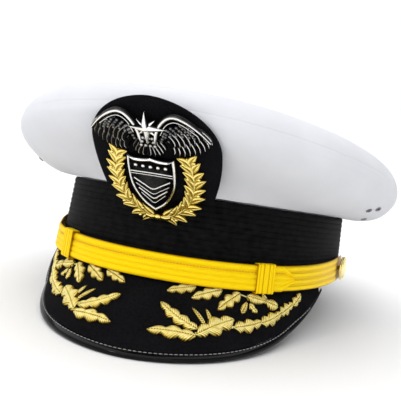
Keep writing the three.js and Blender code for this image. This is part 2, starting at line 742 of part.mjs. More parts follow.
const pitch = restingPitch();
const box = tippedBox(cap.children, pitch);
const middle = box.getCenter(V(0, 0, 0));
cap.rotation.x = -pitch;
cap.position.set(-middle.x, -middle.y, -box.min.z);

const part = new THREE.Group();
part.name = 'military_peaked_cap';
part.add(cap);

export default part;
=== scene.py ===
"""A military peaked cap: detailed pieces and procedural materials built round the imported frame.

Lengths are in millimetres in the cap's own frame: origin at the centre of the band's lower rim,
+Z up the band's axis, -Y to the front. place() takes them to the row frame, in metres.
"""
import json
import math
from itertools import product

import bmesh
import bpy
import numpy as np
from mathutils import Matrix, Vector

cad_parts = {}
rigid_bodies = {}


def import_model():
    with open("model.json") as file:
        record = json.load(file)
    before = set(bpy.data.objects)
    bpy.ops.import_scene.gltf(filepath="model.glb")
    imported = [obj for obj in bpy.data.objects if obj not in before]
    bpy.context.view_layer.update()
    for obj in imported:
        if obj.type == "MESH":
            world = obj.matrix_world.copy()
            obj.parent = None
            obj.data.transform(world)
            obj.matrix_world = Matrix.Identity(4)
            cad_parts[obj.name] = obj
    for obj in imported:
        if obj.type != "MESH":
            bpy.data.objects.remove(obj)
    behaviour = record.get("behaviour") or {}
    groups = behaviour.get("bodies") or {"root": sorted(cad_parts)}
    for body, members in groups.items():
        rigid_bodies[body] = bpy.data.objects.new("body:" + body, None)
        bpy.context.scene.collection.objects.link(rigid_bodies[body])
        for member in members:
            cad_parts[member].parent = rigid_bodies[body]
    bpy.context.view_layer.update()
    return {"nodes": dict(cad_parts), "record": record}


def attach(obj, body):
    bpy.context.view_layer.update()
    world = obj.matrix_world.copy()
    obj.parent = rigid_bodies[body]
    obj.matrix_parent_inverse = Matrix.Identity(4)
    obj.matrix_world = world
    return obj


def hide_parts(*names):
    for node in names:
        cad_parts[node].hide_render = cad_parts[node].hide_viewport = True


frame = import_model()
TAU = 2 * math.pi
NUDGE = 1e-3  # A small step, for slopes.

# ---- The cap's own frame ---------------------------------------------------------------------

opening = next(m for m in frame["record"]["mounts"] if m["name"] == "head_opening")
up = -Vector(opening["axis"]).normalized()
back = Vector((0, up.z, -up.y))
ROT = np.array([[1, 0, 0], list(back), list(up)]).T
ORIGIN = np.array(opening["pos_m"])


def place(points):
    """Points in the cap's frame, in millimetres, as row-frame metres."""
    return np.asarray(points, float) @ ROT.T / 1000 + ORIGIN


# ---- Meshes from grids -----------------------------------------------------------------------

def grid_faces(nu, nv, close_u=False, close_v=False):
    iu = np.arange(nu if close_u else nu - 1)
    iv = np.arange(nv if close_v else nv - 1)
    u, v = [a.ravel() for a in np.meshgrid(iu, iv, indexing="ij")]
    u1, v1 = (u + 1) % nu, (v + 1) % nv
    return np.stack([u * nv + v, u1 * nv + v, u1 * nv + v1, u * nv + v1], 1)


HIDDEN_SIDE_SHADE = 0.3  # Painted shade, on the side of a sheet that isn't seen.


class Shape:
    """Collects closed shells, then becomes one Blender object."""

    def __init__(self):
        self.points, self.faces, self.uvs, self.tones, self.count = [], [], [], [], 0

    def add(self, points, faces, uv=None, tone=None):
        points = np.asarray(points, float).reshape(-1, 3)
        n = len(points)
        self.points.append(points)
        self.faces += [tuple(int(i) + self.count for i in f) for f in faces]
        self.uvs.append(np.zeros((n, 2)) if uv is None else np.asarray(uv, float).reshape(-1, 2))
        self.tones.append(np.ones(n) if tone is None else
                          np.broadcast_to(np.asarray(tone, float).ravel(), (n,)))
        self.count += n
        return self

    def slab(self, top, bottom, uv=None, tone=None):
        """A sheet between two grids of the same size."""
        nu, nv = top.shape[:2]
        n = nu * nv
        f = grid_faces(nu, nv)
        rims = [(i * nv + e, (i + 1) * nv + e) for i in range(nu - 1) for e in (0, nv - 1)]
        rims += [(e * nv + j, e * nv + j + 1) for e in (0, nu - 1) for j in range(nv - 1)]
        sides = [(p, q, n + q, n + p) for p, q in rims]
        both = None if uv is None else np.concatenate([uv.reshape(-1, 2)] * 2)
        shade = None if tone is None else np.concatenate([tone.ravel(), np.full(n, HIDDEN_SIDE_SHADE)])
        return self.add(np.concatenate([top.reshape(-1, 3), bottom.reshape(-1, 3)]),
                        [*map(tuple, f), *map(tuple, (f + n)[:, ::-1]), *sides], both, shade)

    def loop(self, grid, close_u=True, uv=None, tone=None):
        """Rows of closed sections, joined in a ring or in a line with capped ends."""
        nu, nv = grid.shape[:2]
        faces = list(map(tuple, grid_faces(nu, nv, close_u, True)))
        if not close_u:
            faces += [tuple(range(nv)), tuple(range((nu - 1) * nv, nu * nv))]
        return self.add(grid, faces, uv, tone)

    def wrapped(self, grid, first, last, flat=None, tone=None):
        """Rows side by side in a ring, each from the first end point to the last. Its lengths are
        the two coordinates given by `flat`."""
        nu, nv = grid.shape[:2]
        n = nu * nv
        faces = list(map(tuple, grid_faces(nu, nv, True)))
        for i in range(nu):
            j = (i + 1) % nu
            faces += [(n, j * nv, i * nv), (n + 1, i * nv + nv - 1, j * nv + nv - 1)]
        points = np.concatenate([grid.reshape(-1, 3), [first, last]])
        return self.add(points, faces, None if flat is None else points[:, flat], tone)

    def turned(self, profile, base, axis, count, tone=None):
        """A profile of (radius, height) turned about an axis; it starts and ends on the axis."""
        axis = unit(axis)
        side = unit(np.cross(axis, [0.3, 0.2, 1.0] if abs(axis[2]) < 0.9 else [1.0, 0, 0]))
        a = around(count)
        out = np.outer(np.cos(a), side) + np.outer(np.sin(a), np.cross(axis, side))
        rows = [base + out * r + axis * h for r, h in profile[1:-1]]
        shade = None
        if tone is not None:
            shade = np.concatenate([np.tile(tone[1:-1], count), [tone[0], tone[-1]]])
        ends = [base + axis * profile[i][1] for i in (0, -1)]
        return self.wrapped(np.stack(rows, 1), *ends, tone=shade)

    def make(self, name, material, body, slot, replaces=(), smooth=40):
        mesh = bpy.data.meshes.new(name)
        mesh.from_pydata(place(np.concatenate(self.points)).tolist(), [], self.faces)
        layer = mesh.uv_layers.new(name="lengths")
        uv = np.concatenate(self.uvs)
        loops = np.empty(len(mesh.loops), int)
        mesh.loops.foreach_get("vertex_index", loops)
        layer.data.foreach_set("uv", uv[loops].ravel().astype(np.float32))
        tone = mesh.attributes.new("tone", "FLOAT", "POINT")
        tone.data.foreach_set("value", np.concatenate(self.tones).astype(np.float32))
        bm = bmesh.new()
        bm.from_mesh(mesh)
        bmesh.ops.recalc_face_normals(bm, faces=bm.faces)
        bm.to_mesh(mesh)
        bm.free()
        mesh.shade_smooth()
        mesh.set_sharp_from_angle(angle=math.radians(smooth))
        obj = add_object(name, mesh)
        mesh.materials.append(material)
        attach(obj, body)
        if replaces:
            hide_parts(*replaces)
        return obj


def around(count):
    """Angles once round a circle."""
    return np.linspace(0, TAU, count, endpoint=False)


def add_object(name, data):
    obj = bpy.data.objects.new(name, data)
    bpy.context.scene.collection.objects.link(obj)
    return obj


def unit(v):
    v = np.asarray(v, float)
    return v / np.linalg.norm(v, axis=-1, keepdims=True)


def lerp(a, b, t):
    return a + (b - a) * t


def stack(*parts):
    return np.stack(np.broadcast_arrays(*parts), -1)


def smoothstep(a, b, x):
    t = np.clip((x - a) / (b - a), 0, 1)
    return t * t * (3 - 2 * t)


def frames(path, hint, closed=False):
    """Tangent, side and up directions along a line of points; up stays near the hint."""
    ahead = np.roll(path, -1, 0) - np.roll(path, 1, 0)
    if not closed:
        ahead[0], ahead[-1] = path[1] - path[0], path[-1] - path[-2]
    t = unit(ahead)
    side = unit(np.cross(np.broadcast_to(hint, t.shape), t))
    return t, side, np.cross(t, side)


def tube(path, radius, hint, count, closed=False, flat=1.0):
    """A round or flattened tube's sections along a path."""
    path = np.asarray(path, float)
    _, side, rise = frames(path, hint, closed)
    a = around(count)
    r = np.broadcast_to(radius, (len(path),))[:, None, None]
    return (path[:, None] + side[:, None] * np.cos(a)[None, :, None] * r
            + rise[:, None] * np.sin(a)[None, :, None] * r * flat)


def curve(points, count):
    """A smooth line through points."""
    points = np.asarray(points, float)
    k = np.concatenate([[0], np.cumsum(np.linalg.norm(np.diff(points, axis=0), axis=1))])
    t = np.linspace(0, k[-1], count)
    p = np.vstack([2 * points[0] - points[1], points, 2 * points[-1] - points[-2]])
    i = np.clip(np.searchsorted(k, t, "right") - 1, 0, len(points) - 2)
    u = ((t - k[i]) / (k[i + 1] - k[i]))[:, None]
    a, b, c, d = p[i], p[i + 1], p[i + 2], p[i + 3]
    return 0.5 * (2 * b + (c - a) * u + (2 * a - 5 * b + 4 * c - d) * u ** 2
                  + (3 * b - a - 3 * c + d) * u ** 3)


# ---- Driving dimensions, as in the CAD -------------------------------------------------------

# Band: half its width and depth, its height, how far it draws in at the top, its middling radius.
RX, RY, BAND_H, DRAW_IN, BAND_RADIUS = 88.5, 104.4, 48.0, 2.36, 96
# Its lower edge rises towards the temples: from this angle, by this much, dying out at this height.
TEMPLE_FROM, TEMPLE_RISE, TEMPLE_FADE = math.radians(44), 9.5, 30.0
# Cover's rim: half its width and depth, its middle, and how deep and wide its front is flattened.
# Then its height, how much higher its front and lower its back is, and the same for ends and sides.
RIM_X, RIM_Y, RIM_CY, DENT, DENT_W = 117.8, 136.7, -12.5, 8.5, math.radians(34)
RIM_Z, TILT, SADDLE = 70.0, 13.0, 3.0
# Cover: the rim's rounding, the crown's dome, how far the cloth reaches in over the band, the foot's
# height and the cloth's thickness. Then the seam's place on the rounding, the gap in a seam, and a
# middling radius.
ROUND, DOME, SEAT, COVER_Z, CLOTH = 15.0, 5.0, -4.8, 48.7, 1.2
SEAM_PHI, SEAM_GAP, COVER_RADIUS = math.radians(15), 0.06, 105
# Wall of the cover at the back and at the front: how steeply it starts, in degrees, how far that
# carries, and how far below the rim it turns upright.
WALL_RISE, WALL_REACH, WALL_TUCK = (-14, 60), (21.4, 20), (8.4, 10)
# Visor: its depth down the slope, the angle where it runs out, its height on the band. Then its
# slope in degrees: in front, what it gains towards the ends, and the most it reaches.
VISOR_W, VISOR_END, VISOR_Z = 51.6, math.radians(72.8), 1.6
SLOPE_FRONT, SLOPE_GAIN, SLOPE_MOST = 46, 67.5, 70
# Badge mount: a place on its plane and the plane's lean. Then its low edge, the height of its widest
# line, half its width there and what it loses below; how tall and how round its head is, and the
# radius that it is bent to; how far its face puffs up, its edge rolls back and its back lies behind.
PLANE_Y, PLANE_Z, LEAN = -116.5, 48.0, math.radians(42)
MOUNT_LOW, MOUNT_MID, MOUNT_HALF, MOUNT_LOSS = -6.4, 25.4, 35, 3.6
MOUNT_HEAD, MOUNT_POWER, MOUNT_BEND = 33, 2 / 1.84, 116
MOUNT_PUFF, MOUNT_ROLL, MOUNT_BACK = 0.28, 1.7, 3.6
# Strap: its height, where each length starts and ends, the place of its stitches as a share of half
# its height, and its two layers' distances from the band.
STRAP_H, STRAP_START, STRAP_TAIL = 14.2, math.radians(89.6), math.radians(51)
STITCH_ROW = 0.44
INNER_LACE_NEAR, INNER_LACE_FAR, OUTER_LACE_NEAR, OUTER_LACE_FAR = 2.4, 3.3, 3.7, 4.7
# Keeper: its angle, its room round the strap, its wall, half its length, its corners' inner radius.
KEEPER_AT, KEEPER_ROOM, KEEPER_ROOM_Z = math.radians(38.7), 0.7, 0.4
KEEPER_WALL, KEEPER_HALF, KEEPER_BEND = 0.5625, 5.7, 0.2
# Side button: its angle, height and distance from the band.
BUTTON_AT, BUTTON_Z, BUTTON_OUT = math.radians(85.4), 17.7, 3.7


def band(th, z, off=0.0):
    k = off - DRAW_IN * z / BAND_H
    return stack((RX + k) * np.sin(th), -(RY + k) * np.cos(th), z)


def band_normal(th):
    return unit(stack(np.sin(th) / RX, -np.cos(th) / RY, 0.0 * th))


# ---- Cover -----------------------------------------------------------------------------------

def rim_depth(th):
    """Half the rim's depth, less where its front is flattened."""
    turn = 2 * np.sin(th / 2) / DENT_W
    return RIM_Y - DENT * np.exp(-turn * turn)


def cover_span(th):
    """The cover's foot, the way outwards from it, and the rim's distance and height."""
    k = -DRAW_IN * COVER_Z / BAND_H
    fx, fy = (RX + k) * np.sin(th), -(RY + k) * np.cos(th)
    x, y = RIM_X * np.sin(th), RIM_CY - rim_depth(th) * np.cos(th)
    span = np.hypot(x - fx, y - fy)
    z = RIM_Z + TILT * np.cos(th) + SADDLE * np.cos(2 * th)
    return fx, fy, (x - fx) / span, (y - fy) / span, span, z


def wall_profile(th, t):
    """Distance out and height along the wall, from the foot to the rim."""
    span, z = cover_span(th)[4:]
    front = ((1 + np.cos(th)) / 2) ** 4.2
    rise = np.radians(lerp(*WALL_RISE, front))
    reach, tuck = lerp(*WALL_REACH, front), lerp(*WALL_TUCK, front)
    b = [(1 - t) ** 3, 3 * (1 - t) ** 2 * t, 3 * (1 - t) * t ** 2, t ** 3]
    r = b[1] * reach * np.cos(rise) + (b[2] + b[3]) * span
    h = (b[0] * COVER_Z + b[1] * (COVER_Z + reach * np.sin(rise)) + b[2] * (z - tuck) + b[3] * z)
    return r, h


def round_profile(th, phi):
    """Distance out and height round the rim's rounding."""
    span, z = cover_span(th)[4:]
    return span - ROUND * (1 - np.cos(phi)), z + ROUND * np.sin(phi)


def on_cover(th, profile, t, depth):
    """A point of the cover, at a depth under its outside."""
    fx, fy, ox, oy = cover_span(th)[:4]
    r, h = profile(th, t)
    r1, h1 = profile(th, t + NUDGE)
    r0, h0 = profile(th, np.maximum(t - NUDGE, 0))
    n = np.hypot(r1 - r0, h1 - h0)
    r = r - (h1 - h0) / n * depth
    h = h + (r1 - r0) / n * depth
    return stack(fx + ox * r, fy + oy * r, h)


def round_end(th):
    """How far the rounding goes before it runs into the crown."""
    x, y = RIM_X * np.sin(th), -rim_depth(th) * np.cos(th)
    fall = TILT * np.cos(th) + 2 * SADDLE * np.cos(2 * th) - 2 * DOME
    return math.pi / 2 - np.arctan2(-fall, np.hypot(x, y) - ROUND)


def top_point(th, s, depth):
    """A point of the crown, at a share of the way from its middle to the rounding."""
    end = round_end(th)
    edge = on_cover(th, round_profile, end, 0 * th)
    drop = ROUND * (1 - np.sin(end))
    z = (RIM_Z + ROUND + TILT * s * np.cos(th) + SADDLE * s * s * np.cos(2 * th)
         + DOME * (1 - s * s) - drop * s ** 4)
    return stack(edge[..., 0] * s, lerp(RIM_CY, edge[..., 1], s), z - depth)


def ease(th, k):
    """Slow unevenness of stretched cloth, in millimetres."""
    waves = ((0.32, 3, 1.1, 2.3), (0.22, 5, -0.7, 4.1), (0.12, 11, 0, 6.0), (0.07, 19, 0, -9.0))
    return sum(size * np.sin(n * th + start + drift * k) for size, n, start, drift in waves)


def seam_dip(away, deep, row):
    """How far cloth draws in beside a seam, and again along its top stitching."""
    return deep * np.exp(-(away / 0.7) ** 2) + row * np.exp(-((away - 2.6) / 0.5) ** 2)


INNER_SHARE = 0.3  # How much of the outside's unevenness the inside of the cloth shows.


def quarter_shape(number):
    """One side panel with its edges turned in along the seams."""
    edge = SEAM_GAP / RX
    th = np.linspace(number * math.pi / 2 + edge, (number + 1) * math.pi / 2 - edge, 84)
    fx, fy, ox, oy = cover_span(th)[:4]
    arc = np.abs(np.stack([th - th[0], th[-1] - th])).min(0) * COVER_RADIUS
    fold = seam_dip(arc, 0.4, 0.07)

    def skin(depth, share):
        rows = [stack(fx + ox * r, fy + oy * r, COVER_Z + depth)
                for r in np.linspace(SEAT, 0, 4)[:-1]]
        for k in np.linspace(0, 1, 34):
            soft = ease(th, k) * smoothstep(0.02, 0.3, k) * (1 - 0.6 * smoothstep(0.8, 1, k))
            gather = 0.16 * np.sin(46 * th + 3 * np.sin(5 * th)) * np.exp(-((k - 0.06) / 0.07) ** 2)
            rows.append(on_cover(th, wall_profile, k, depth + (fold + soft + gather) * share))
        for phi in np.linspace(0, SEAM_PHI, 7)[1:]:
            tuck = seam_dip((SEAM_PHI - phi) * ROUND, 0.16, 0.03)
            soft = 0.4 * ease(th, 1.0)
            rows.append(on_cover(th, round_profile, phi, depth + (fold + tuck + soft) * share))
        return np.stack(rows, 1)

    outer, inner = skin(0.0, 1), skin(CLOTH, INNER_SHARE)
    lengths = np.linalg.norm(np.diff(outer, axis=1), axis=2)
    v = np.concatenate([np.zeros((len(th), 1)), np.cumsum(lengths, 1)], 1)
    return Shape().slab(outer, inner, uv=stack((th * COVER_RADIUS)[:, None], v))


def crown_shape():
    """The top panel, from its middle over the rounded rim to the seam, and back inside it."""
    th = around(288)
    end = round_end(th)
    seam = SEAM_PHI + SEAM_GAP / ROUND

    def skin(depth, share):
        rows = []
        for s in np.linspace(0.04, 0.985, 26):
            soft = 0.5 * ease(th, 1.3 + s) * s + 0.5 * np.sin(2 * th + 1) * s * (1 - s)
            rows.append(top_point(th, s, depth + soft))
        for k in np.linspace(1, 0, 14):
            phi = lerp(seam, end, k)
            tuck = seam_dip((phi - seam) * ROUND, 0.16, 0.03)
            soft = lerp(0.4, 0.5, k) * ease(th, lerp(1.0, 2.3, k))
            rows.append(on_cover(th, round_profile, phi, depth + (tuck + soft) * share))
        return rows

    rows = skin(0.0, 1) + skin(CLOTH, INNER_SHARE)[::-1]
    ends = [top_point(0.0, 0.0, depth) for depth in (0.0, CLOTH)]
    return Shape().wrapped(np.stack(rows, 1), *ends, flat=[0, 1])


def under_top(depth, thick, reach, steps, count):
    """A round sheet hung below the crown, out to a share of its reach."""
    th, s = around(count)[:, None], np.linspace(0.03, reach, steps)[None, :]
    top = top_point(th, s, depth + 0.5 * np.cos(6 * th) * s * (1 - s))
    low = top_point(th, s, depth + thick)
    ends = [top_point(0.0, 0.0, d) for d in (depth, depth + thick)]
    return Shape().wrapped(np.concatenate([top, low[:, ::-1]], 1), *ends, flat=[0, 1])


# ---- Band ------------------------------------------------------------------------------------

def temple_rise(th, z):
    """How far the band's lower edge rises towards the temples, dying out above the edge."""
    from_ends = np.arccos(np.abs(np.cos(th)))
    share = smoothstep(TEMPLE_FROM, math.pi / 2, from_ends)
    return TEMPLE_RISE * share * np.maximum(0, 1 - z / TEMPLE_FADE)


def band_ring(section):
    """A ring round the band from a closed section of (offset, height) pairs."""
    th = around(288)
    off, z = np.array(section, float).T
    z_here = z[None, :] + temple_rise(th[:, None], z[None, :])
    grid = band(th[:, None], z_here, off[None, :])
    v = np.concatenate([[0], np.cumsum(np.hypot(np.diff(off), np.diff(z)))])
    return Shape().loop(grid, uv=stack((th * BAND_RADIUS)[:, None], v[None, :]))


RIBS, RIB_LOW, RIB_HIGH = 15, 1.3, 47.6


def mohair_section():
    """The ribbed cloth's section: its ribs are rounded, with sharp valleys."""
    z = np.linspace(RIB_LOW, RIB_HIGH, RIBS * 8 + 1)
    wave = np.abs(np.sin(math.pi * (z - RIB_LOW) / (RIB_HIGH - RIB_LOW) * RIBS)) ** 0.6
    face = [(-0.42 + 0.4 * w, h) for w, h in zip(wave, z)]
    return [(-1.5, 48), (-1.5, 0.8), (-0.6, 0.8), *face, (-0.6, 48)]


# ---- Visor -----------------------------------------------------------------------------------

def visor_slope(th):
    """How steeply the visor falls, more so towards its ends."""
    return np.radians(np.minimum(SLOPE_FRONT + SLOPE_GAIN * (1 - np.cos(th)), SLOPE_MOST))


def visor_width(th):
    """The visor's depth down its slope: round in front, running out at its ends."""
    def bend(x):
        return (x * x + 0.01) ** 0.75 - 0.01 ** 0.75

    return VISOR_W * (1 - bend(np.minimum(np.abs(th) / VISOR_END, 1)) / bend(1))


def visor_face(th, s):
    """A point of the upper face, at a distance down its slope."""
    slope, n = visor_slope(th), band_normal(th)
    root = band(th, 0 * th, 0.4)
    out = s * np.cos(slope)
    z = VISOR_Z + temple_rise(th, 0) - s * np.sin(slope)
    return stack(root[..., 0] + n[..., 0] * out, root[..., 1] + n[..., 1] * out, z)


def visor_frame(th, s):
    """Point and outward normal on the visor's upper face."""
    th, s = np.broadcast_arrays(np.asarray(th, float), np.asarray(s, float))
    across = visor_face(th + NUDGE, s) - visor_face(th - NUDGE, s)
    down = visor_face(th, s + 10 * NUDGE) - visor_face(th, s - 10 * NUDGE)
    return visor_face(th, s), unit(np.cross(down, across))


def visor_point(th, s, rise):
    p, n = visor_frame(th, s)
    return p + n * np.asarray(rise)[..., None]


def visor_root(th, depth):
    """How far down the slope a layer at this depth clears the band."""
    slope = visor_slope(th)
    return np.maximum((depth * np.sin(slope) - 0.1) / np.cos(slope), 0)


BIND_W, BIND_THICK = 4.6, 3.0  # The patent strip's width and thickness.


def binding_width(th):
    """Width of the patent strip, narrower where the visor runs out."""
    return BIND_W * np.clip(visor_width(th) / 20, 0.3, 1)


def visor_layer(depth, thick, end):
    """A sheet of the visor, from the band to the binding."""
    th = np.linspace(-math.radians(end), math.radians(end), 150)[:, None]
    k = np.linspace(0, 1, 30)[None, :]
    edge = visor_width(th) - binding_width(th) - 0.3
    top = lerp(0.2 + visor_root(th, depth), edge, k)
    low = lerp(visor_root(th, depth + thick), edge, k)
    return Shape().slab(visor_point(th, top, -depth), visor_point(th, low, -depth - thick),
                        uv=stack(th * 120, low))


def binding_shape():
    """A patent leather strip folded over the visor's edge, with a rounded lip."""
    th = np.linspace(-math.radians(70), math.radians(70), 260)
    edge = visor_width(th)
    share = np.clip(edge / 18, 0.3, 1)
    width = np.minimum(binding_width(th), edge - 0.3)
    root = visor_root(th, share * 2.4)
    lip = [(0.62 + 0.38 * math.cos(a), 0.5 * math.sin(a))
           for a in np.linspace(-math.pi / 2, math.pi / 2, 15)]
    section = [(0.0, -0.2), (0.1, -0.31), (0.3, -0.42), *lip, (0.3, 0.42), (0.1, 0.36), (0.0, 0.24)]
    rows = []
    for along, deep in section:
        least = np.minimum(root * (deep > 0), edge - 0.4) + along * 0.3
        s = np.maximum(edge - width * (1 - along), least)
        rows.append(visor_point(th, s, -share * (0.9 + deep * BIND_THICK)))
    v = np.linspace(0, 16, len(section))
    return Shape().loop(np.stack(rows, 1), close_u=False, uv=stack((th * 150)[:, None], v[None, :]))


def stitches(path, normal, length, gap, radius):
    """Short rounded stitches along a line, each pulled in at its ends."""
    shape = Shape()
    k = np.concatenate([[0], np.cumsum(np.linalg.norm(np.diff(path, axis=0), axis=1))])
    bow = np.sin(np.linspace(0, math.pi, 6))[:, None]
    thick = radius * np.clip(np.sin(np.linspace(0.25, math.pi - 0.25, 6)) * 1.4, 0.3, 1)
    for start in np.arange(gap, k[-1] - length, length + gap):
        t = np.linspace(start, start + length, 6)
        p, n = [np.stack([np.interp(t, k, a[:, i]) for i in range(3)], -1) for a in (path, normal)]
        shape.loop(tube(p + n * radius * (0.45 * bow - 0.25), thick, n.mean(0), 6), False)
    return shape


# ---- Leaves of bullion, on the visor -----------------------------------------------------------

LEAF_LIFT = 0.25


def leaf(shape, side, base, tip, half_width, lobes, cut, height, bend, full=0.8):
    """A padded leaf between two (degrees, slope distance) places, threads laid from its vein."""
    b, t = np.array(base, float), np.array(tip, float)
    mid = math.radians((b[0] + t[0]) / 2)
    local = math.hypot(RX * math.cos(mid), RY * math.sin(mid)) + 18 * math.cos(visor_slope(mid))
    p0 = np.array([(math.radians(b[0]) - mid) * local, b[1]])
    p1 = np.array([(math.radians(t[0]) - mid) * local, t[1]])
    length = np.linalg.norm(p1 - p0)
    along = (p1 - p0) / length
    a = np.linspace(0, 1, max(24, int(length * 4.2)))[:, None]
    c = np.linspace(-1, 1, 21)[None, :]
    body = np.sin(math.pi * np.clip(a, 0.002, 0.998) ** full) ** 0.62
    lobed = 1 - np.abs(np.sin(math.pi * (lobes * a + 0.12 * np.sign(c)))) ** 0.85
    half = half_width * body * (1 - cut * lobed) + 0.06
    u = a * length
    v = c * half + bend * np.sin(math.pi * a)
    x = p0[0] + along[0] * u - along[1] * v
    s = p0[1] + along[1] * u + along[0] * v
    crown = np.sqrt(np.clip(1 - np.abs(c) ** 2.4, 0, 1))
    vein = np.exp(-(c * half / 0.34) ** 2)
    thread = np.sin(TAU * (u - np.abs(c * half) * 0.9) / 1.25)
    taper = np.clip(np.sin(math.pi * a) * 3, 0, 1) ** 0.5
    top = (height * crown * (0.35 + 0.65 * taper) + 0.17 * thread * crown * (1 - vein)
           - 0.4 * vein * taper)
    rise_top = LEAF_LIFT + 0.06 + np.maximum(top, 0.02)
    # Painted light: a highlight on the leaf's crown and thread ridges, painted shade along its vein.
    tone = np.clip(0.12 + 0.55 * crown ** 1.5 + 0.3 * thread - 0.45 * vein, 0.02, 1)
    th = (mid + x / local) * side
    low = visor_point(th, s, np.full_like(rise_top, LEAF_LIFT))
    shape.slab(visor_point(th, s, rise_top), low, uv=stack(u + 0 * c, c * half), tone=tone)


def stem(shape, side, radius, *points):
    """A round stem through (degrees, slope distance) places."""
    p = curve(points, 26)
    th, s = np.radians(p[:, 0]) * side, p[:, 1]
    path = visor_point(th, s, 2 * LEAF_LIFT + 0 * th)
    shape.loop(tube(path, radius, visor_frame(th, s)[1].mean(0), 8), False)


# Oak leaves, sprigs, buds and an acorn: where each starts and ends in degrees and down the slope,
# half its width, its lobes, how deep they are cut, its height, its bend, its fullness if not plain.
LEAVES = (
    ((17.6, 27.9), (6.2, 15.2), 3.96, 4, 0.45, 1.7, -1.1),
    ((17.3, 32.2), (4.8, 33.6), 4.2, 3, 0.51, 1.8, 0.8),
    ((17.0, 31.4), (28.4, 18.2), 5.64, 3, 0.54, 2.0, -1.0, 1.15),
    ((28.0, 23.0), (38.2, 16.9), 4.08, 3, 0.54, 1.7, 0.4),
    ((37.6, 18.0), (46.6, 10.6), 3.84, 3, 0.54, 1.7, 0.4),
    ((45.8, 11.4), (52.4, 5.6), 3.72, 3, 0.54, 1.6, 0.2),
    ((52.2, 7.0), (56.6, 1.0), 3.24, 2, 0.51, 1.5, 0.2),
    ((16.4, 2.0), (7.0, 7.4), 3.36, 3, 0.51, 1.5, 0.4),
    ((25.2, 1.6), (15.0, 9.4), 3.96, 3, 0.54, 1.7, 0.5),
    ((31.4, 2.2), (23.2, 14.0), 4.08, 3, 0.54, 1.8, 0.5),
    ((19.7, 24.6), (15.7, 15.2), 1.14, 1, 0, 0.8, 0.5),
    ((21.6, 23.0), (19.8, 14.4), 1.14, 1, 0, 0.8, 0.3),
    ((31.2, 13.8), (33.4, 6.6), 1.8, 1, 0, 1.1, 0.0),
    ((34.2, 7.6), (36.8, 12.4), 2.16, 2, 0.45, 1.2, 0.2),
    ((39.4, 1.2), (41.4, 4.6), 1.56, 1, 0.3, 1.0, 0.0),
    ((33.6, 3.6), (40.6, 5.4), 3, 1, 0, 1.9, 0.0, 0.7),
    ((39.6, 5.2), (45.2, 7.6), 3.24, 1, 0, 1.9, 0.0, 1.5),
)
# Stems: the radius and the places that they pass through.
STEMS = (
    (0.42, (17, 30), (24, 25), (28.4, 22.6)),
    (0.4, (27.5, 22.5), (37.8, 17.6), (46, 11.2), (53, 6)),
    (0.34, (19.9, 24.2), (18.6, 28.4)),
    (0.34, (21.5, 22.6), (21, 27)),
    (0.36, (31, 2.4), (33.8, 3.8)),
)


def spray(side):
    """One side's embroidery."""
    shape = Shape()
    for row in LEAVES:
        leaf(shape, side, *row)
    for row in STEMS:
        stem(shape, side, *row)
    return shape


# ---- Badge -------------------------------------------------------------------------------------

UP = np.array([0, -math.sin(LEAN), math.cos(LEAN)])
OUT = np.array([0, -math.cos(LEAN), -math.sin(LEAN)])


def mount_sag(x):
    """How far the mount curves back from its plane towards its sides."""
    return (MOUNT_BEND - np.sqrt(MOUNT_BEND ** 2 - np.asarray(x, float) ** 2)) * math.cos(LEAN)


def on_plane(x, high, out):
    """A point by its distances across, up and out from the badge's plane."""
    x, high, out = [a[..., None] for a in np.broadcast_arrays(x, high, out)]
    return np.array([0, PLANE_Y, PLANE_Z]) + x * np.array([1.0, 0, 0]) + high * UP + out * OUT


def mount_outline():
    """The mount's edge: sides that draw in below, a rounded head and a flat base."""
    right = []
    for h in np.linspace(MOUNT_LOW, MOUNT_MID, 11)[:-1]:
        right.append((MOUNT_HALF - MOUNT_LOSS * ((MOUNT_MID - h) / MOUNT_MID) ** 2, h))
    for a in np.linspace(0, math.pi / 2, 45):
        right.append((MOUNT_HALF * math.cos(a) ** MOUNT_POWER,
                      MOUNT_MID + MOUNT_HEAD * math.sin(a) ** MOUNT_POWER))
    left = [(-x, h) for x, h in right[-2::-1]]
    base = [(k * right[0][0], MOUNT_LOW) for k in np.linspace(-0.92, 0.92, 15)]
    return np.array(right + left + base)


def mount_shape():
    """The padded mount: its puffed face, rolled over the edge, and its back."""
    line = mount_outline()
    front = [(k, MOUNT_PUFF * (1 - k ** 2)) for k in np.linspace(0.06, 0.86, 12)]
    roll = [(0.86 + 0.14 * math.sin(a), -MOUNT_ROLL * (1 - math.cos(a)))
            for a in np.linspace(0.15, math.pi / 2, 9)]
    behind = [(0.985, -2.6), (0.95, -3.4), *[(k, -MOUNT_BACK) for k in (0.8, 0.4, 0.06)]]
    rows = [on_badge(line[:, 0] * k, lerp(MOUNT_MID, line[:, 1], k), puff)
            for k, puff in [*front, *roll, *behind]]
    ends = [on_plane(0, MOUNT_MID, out) for out in (MOUNT_PUFF, -MOUNT_BACK)]
    return Shape().wrapped(np.stack(rows, 1), *ends, flat=[0, 2])


def on_badge(x, high, out):
    """A place above the mount, following its curve."""
    return on_plane(x, high, out - mount_sag(x))


